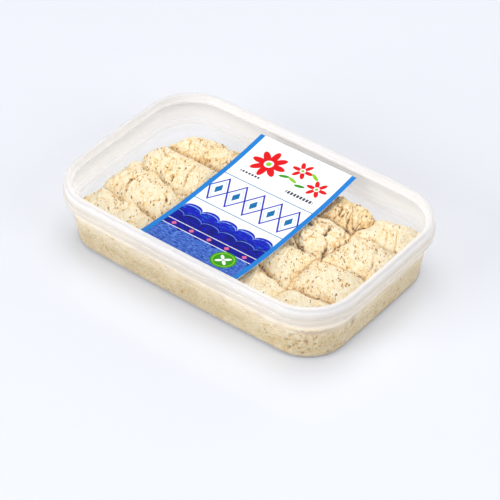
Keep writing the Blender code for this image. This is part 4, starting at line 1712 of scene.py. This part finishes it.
@dataclass
class Studio:
    """Plain pale floor, soft light and the camera."""

    azimuth: float = 38.52
    elevation: float = 40.23
    roll: float = -0.16
    target: tuple = (15.36 * MM, -17.29 * MM, 20.0 * MM)
    distance: float = 1.16575
    lens: float = 169.94
    floor_size: float = 6.0
    horizon: float = 0.93
    zenith: float = 0.14
    floor_glow: float = 0.26
    lamps: tuple = (
        ("overhead_softbox", (-0.12, 0.20, 1.50), 1.0, 11.5),
        ("front_softbox", (-0.55, -1.40, 0.60), 0.9, 18.5),
        ("right_softbox", (1.40, 0.0, 0.85), 0.9, 10.5),
        ("back_softbox", (0.20, 1.45, 0.80), 0.9, 4.0),
    )

    def build(self) -> None:
        """Build the floor, the lights and the camera."""
        self.floor()
        self.sky()
        for name, place, size, power in self.lamps:
            self.lamp(name, place, size, power)
        self.camera()

    def floor(self) -> None:
        """Build the floor, a pale, slightly glossy board that is lit a little from below."""
        mesh = bmesh.new()
        bmesh.ops.create_grid(mesh, x_segments=1, y_segments=1, size=self.floor_size / 2)
        data = bpy.data.meshes.new("floor_board")
        mesh.to_mesh(data)
        mesh.free()
        material, wiring, shader, _ = new_material("pale_board")
        wiring.set(shader.inputs["Base Color"], (0.55, 0.568, 0.61))
        shader.inputs["Emission Color"].default_value = (0.955, 0.965, 1.0, 1.0)
        shader.inputs["Emission Strength"].default_value = self.floor_glow
        place = wiring.add("ShaderNodeTexCoord").outputs["Object"]
        wiring.set(shader.inputs["Roughness"], wiring.smooth(wiring.noise(place, 6.0), 0.3, 0.7, 0.05, 0.09))
        shader.inputs["IOR"].default_value = 1.38
        data.materials.append(material)
        item = placed("floor_board", data)

    def sky(self) -> None:
        """Fill the surroundings with pale light, brightest at the horizon."""
        world = bpy.data.worlds.new("studio")
        world.use_nodes = True
        ground = world.node_tree.nodes["Background"]
        wiring = Wiring(world.node_tree)
        way = wiring.add("ShaderNodeTexCoord").outputs["Generated"]
        up = wiring.add("ShaderNodeSeparateXYZ", {0: way}).outputs[2]
        wiring.set(ground.inputs["Color"], (0.96, 0.97, 1.0))
        wiring.set(ground.inputs["Strength"], wiring.smooth(up, 0.0, 0.9, self.horizon, self.zenith))
        bpy.context.scene.world = world

    def lamp(self, name: str, place: tuple, size: float, power: float) -> None:
        """Hang one soft lamp that faces the tub.

        Args:
            name: name of the lamp.
            place: where it hangs.
            size: side of its square face.
            power: watts.
        """
        data = bpy.data.lights.new(name, "AREA")
        data.shape = "SQUARE"
        data.size = size
        data.energy = power
        item = placed(name, data)
        item.location = place
        item.rotation_euler = (-Vector(place)).to_track_quat("-Z", "Y").to_euler()

    def camera(self) -> None:
        """Place the camera."""
        azimuth, elevation = math.radians(self.azimuth), math.radians(self.elevation)
        back = Vector((math.sin(azimuth) * math.cos(elevation), -math.cos(azimuth) * math.cos(elevation),
                       math.sin(elevation)))
        data = bpy.data.cameras.new("camera")
        data.lens = self.lens
        data.sensor_width = 36.0
        data.clip_start = 0.05
        data.clip_end = 20.0
        item = placed("camera", data)
        item.location = Vector(self.target) + back * self.distance
        turn = (-back).to_track_quat("-Z", "Y") @ Euler((0.0, 0.0, math.radians(self.roll))).to_quaternion()
        item.rotation_euler = turn.to_euler()
        bpy.context.scene.camera = item
        bpy.context.scene.view_settings.view_transform = "Standard"


def settle(item: bpy.types.Object, nodes: tuple[str, ...] = ()) -> None:
    """Let a finished piece ride on the tub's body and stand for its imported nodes.

    Args:
        item: the piece.
        nodes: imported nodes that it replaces.
    """
    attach(item, BODY)
    if nodes:
        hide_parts(*nodes)
    log.info("%s: %d faces", item.name, len(item.data.polygons))


def main() -> None:
    """Build the tub, lid, label and halva, then the studio round them."""
    logging.basicConfig(level=logging.INFO, format="%(name)s: %(message)s")
    mottle, smears = mottle_group(), handling_group()
    lid_low, lid_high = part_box("lid")
    outline = Outline(lid_high.x - lid_low.x, lid_high.y - lid_low.y)

    tub = TubShell(outline)
    settle(tub.shell("tub_shell", ClearPlastic("tub_plastic").build(smears)), ("tub",))

    lid = LidShell(outline, height=lid_high.z, skirt_bottom=lid_low.z)
    settle(lid.shell("lid_shell", ClearPlastic("lid_plastic").build(smears)), ("lid",))

    label = LabelSheet(lid)
    paper = PrintedPaper(label.width / MM, label.length / MM).build(smears)
    settle(label.build(paper), ("label",))

    fill = HalvaFill(tub)
    pieces = fill.build(HalvaFinish().build(mottle))
    for piece, block in zip(pieces, fill.blocks):
        settle(piece, (block.node,))

    hull = GrainFinish("sesame_hull", (0.62, 0.35, 0.10), (0.24, 0.11, 0.02), 0.9).build(mottle)
    crumb = GrainFinish("halva_crumb", (0.90, 0.76, 0.50), (0.66, 0.44, 0.22), 0.8).build(mottle)
    grains = (
        (Scatter("sesame_flecks", 1.25e5, (0.7 * MM, 2.5 * MM), 0.38, 5), hull, False),
        (Scatter("halva_crumbs", 1.0e5, (0.4 * MM, 1.1 * MM), 0.8, 9), crumb, True),
    )
    for scatter, material, crevices in grains:
        settle(scatter.build(fill.bed(pieces, crevices), math.radians(122.0), material))

    Studio().build()


if __name__ == "__main__":
    main()
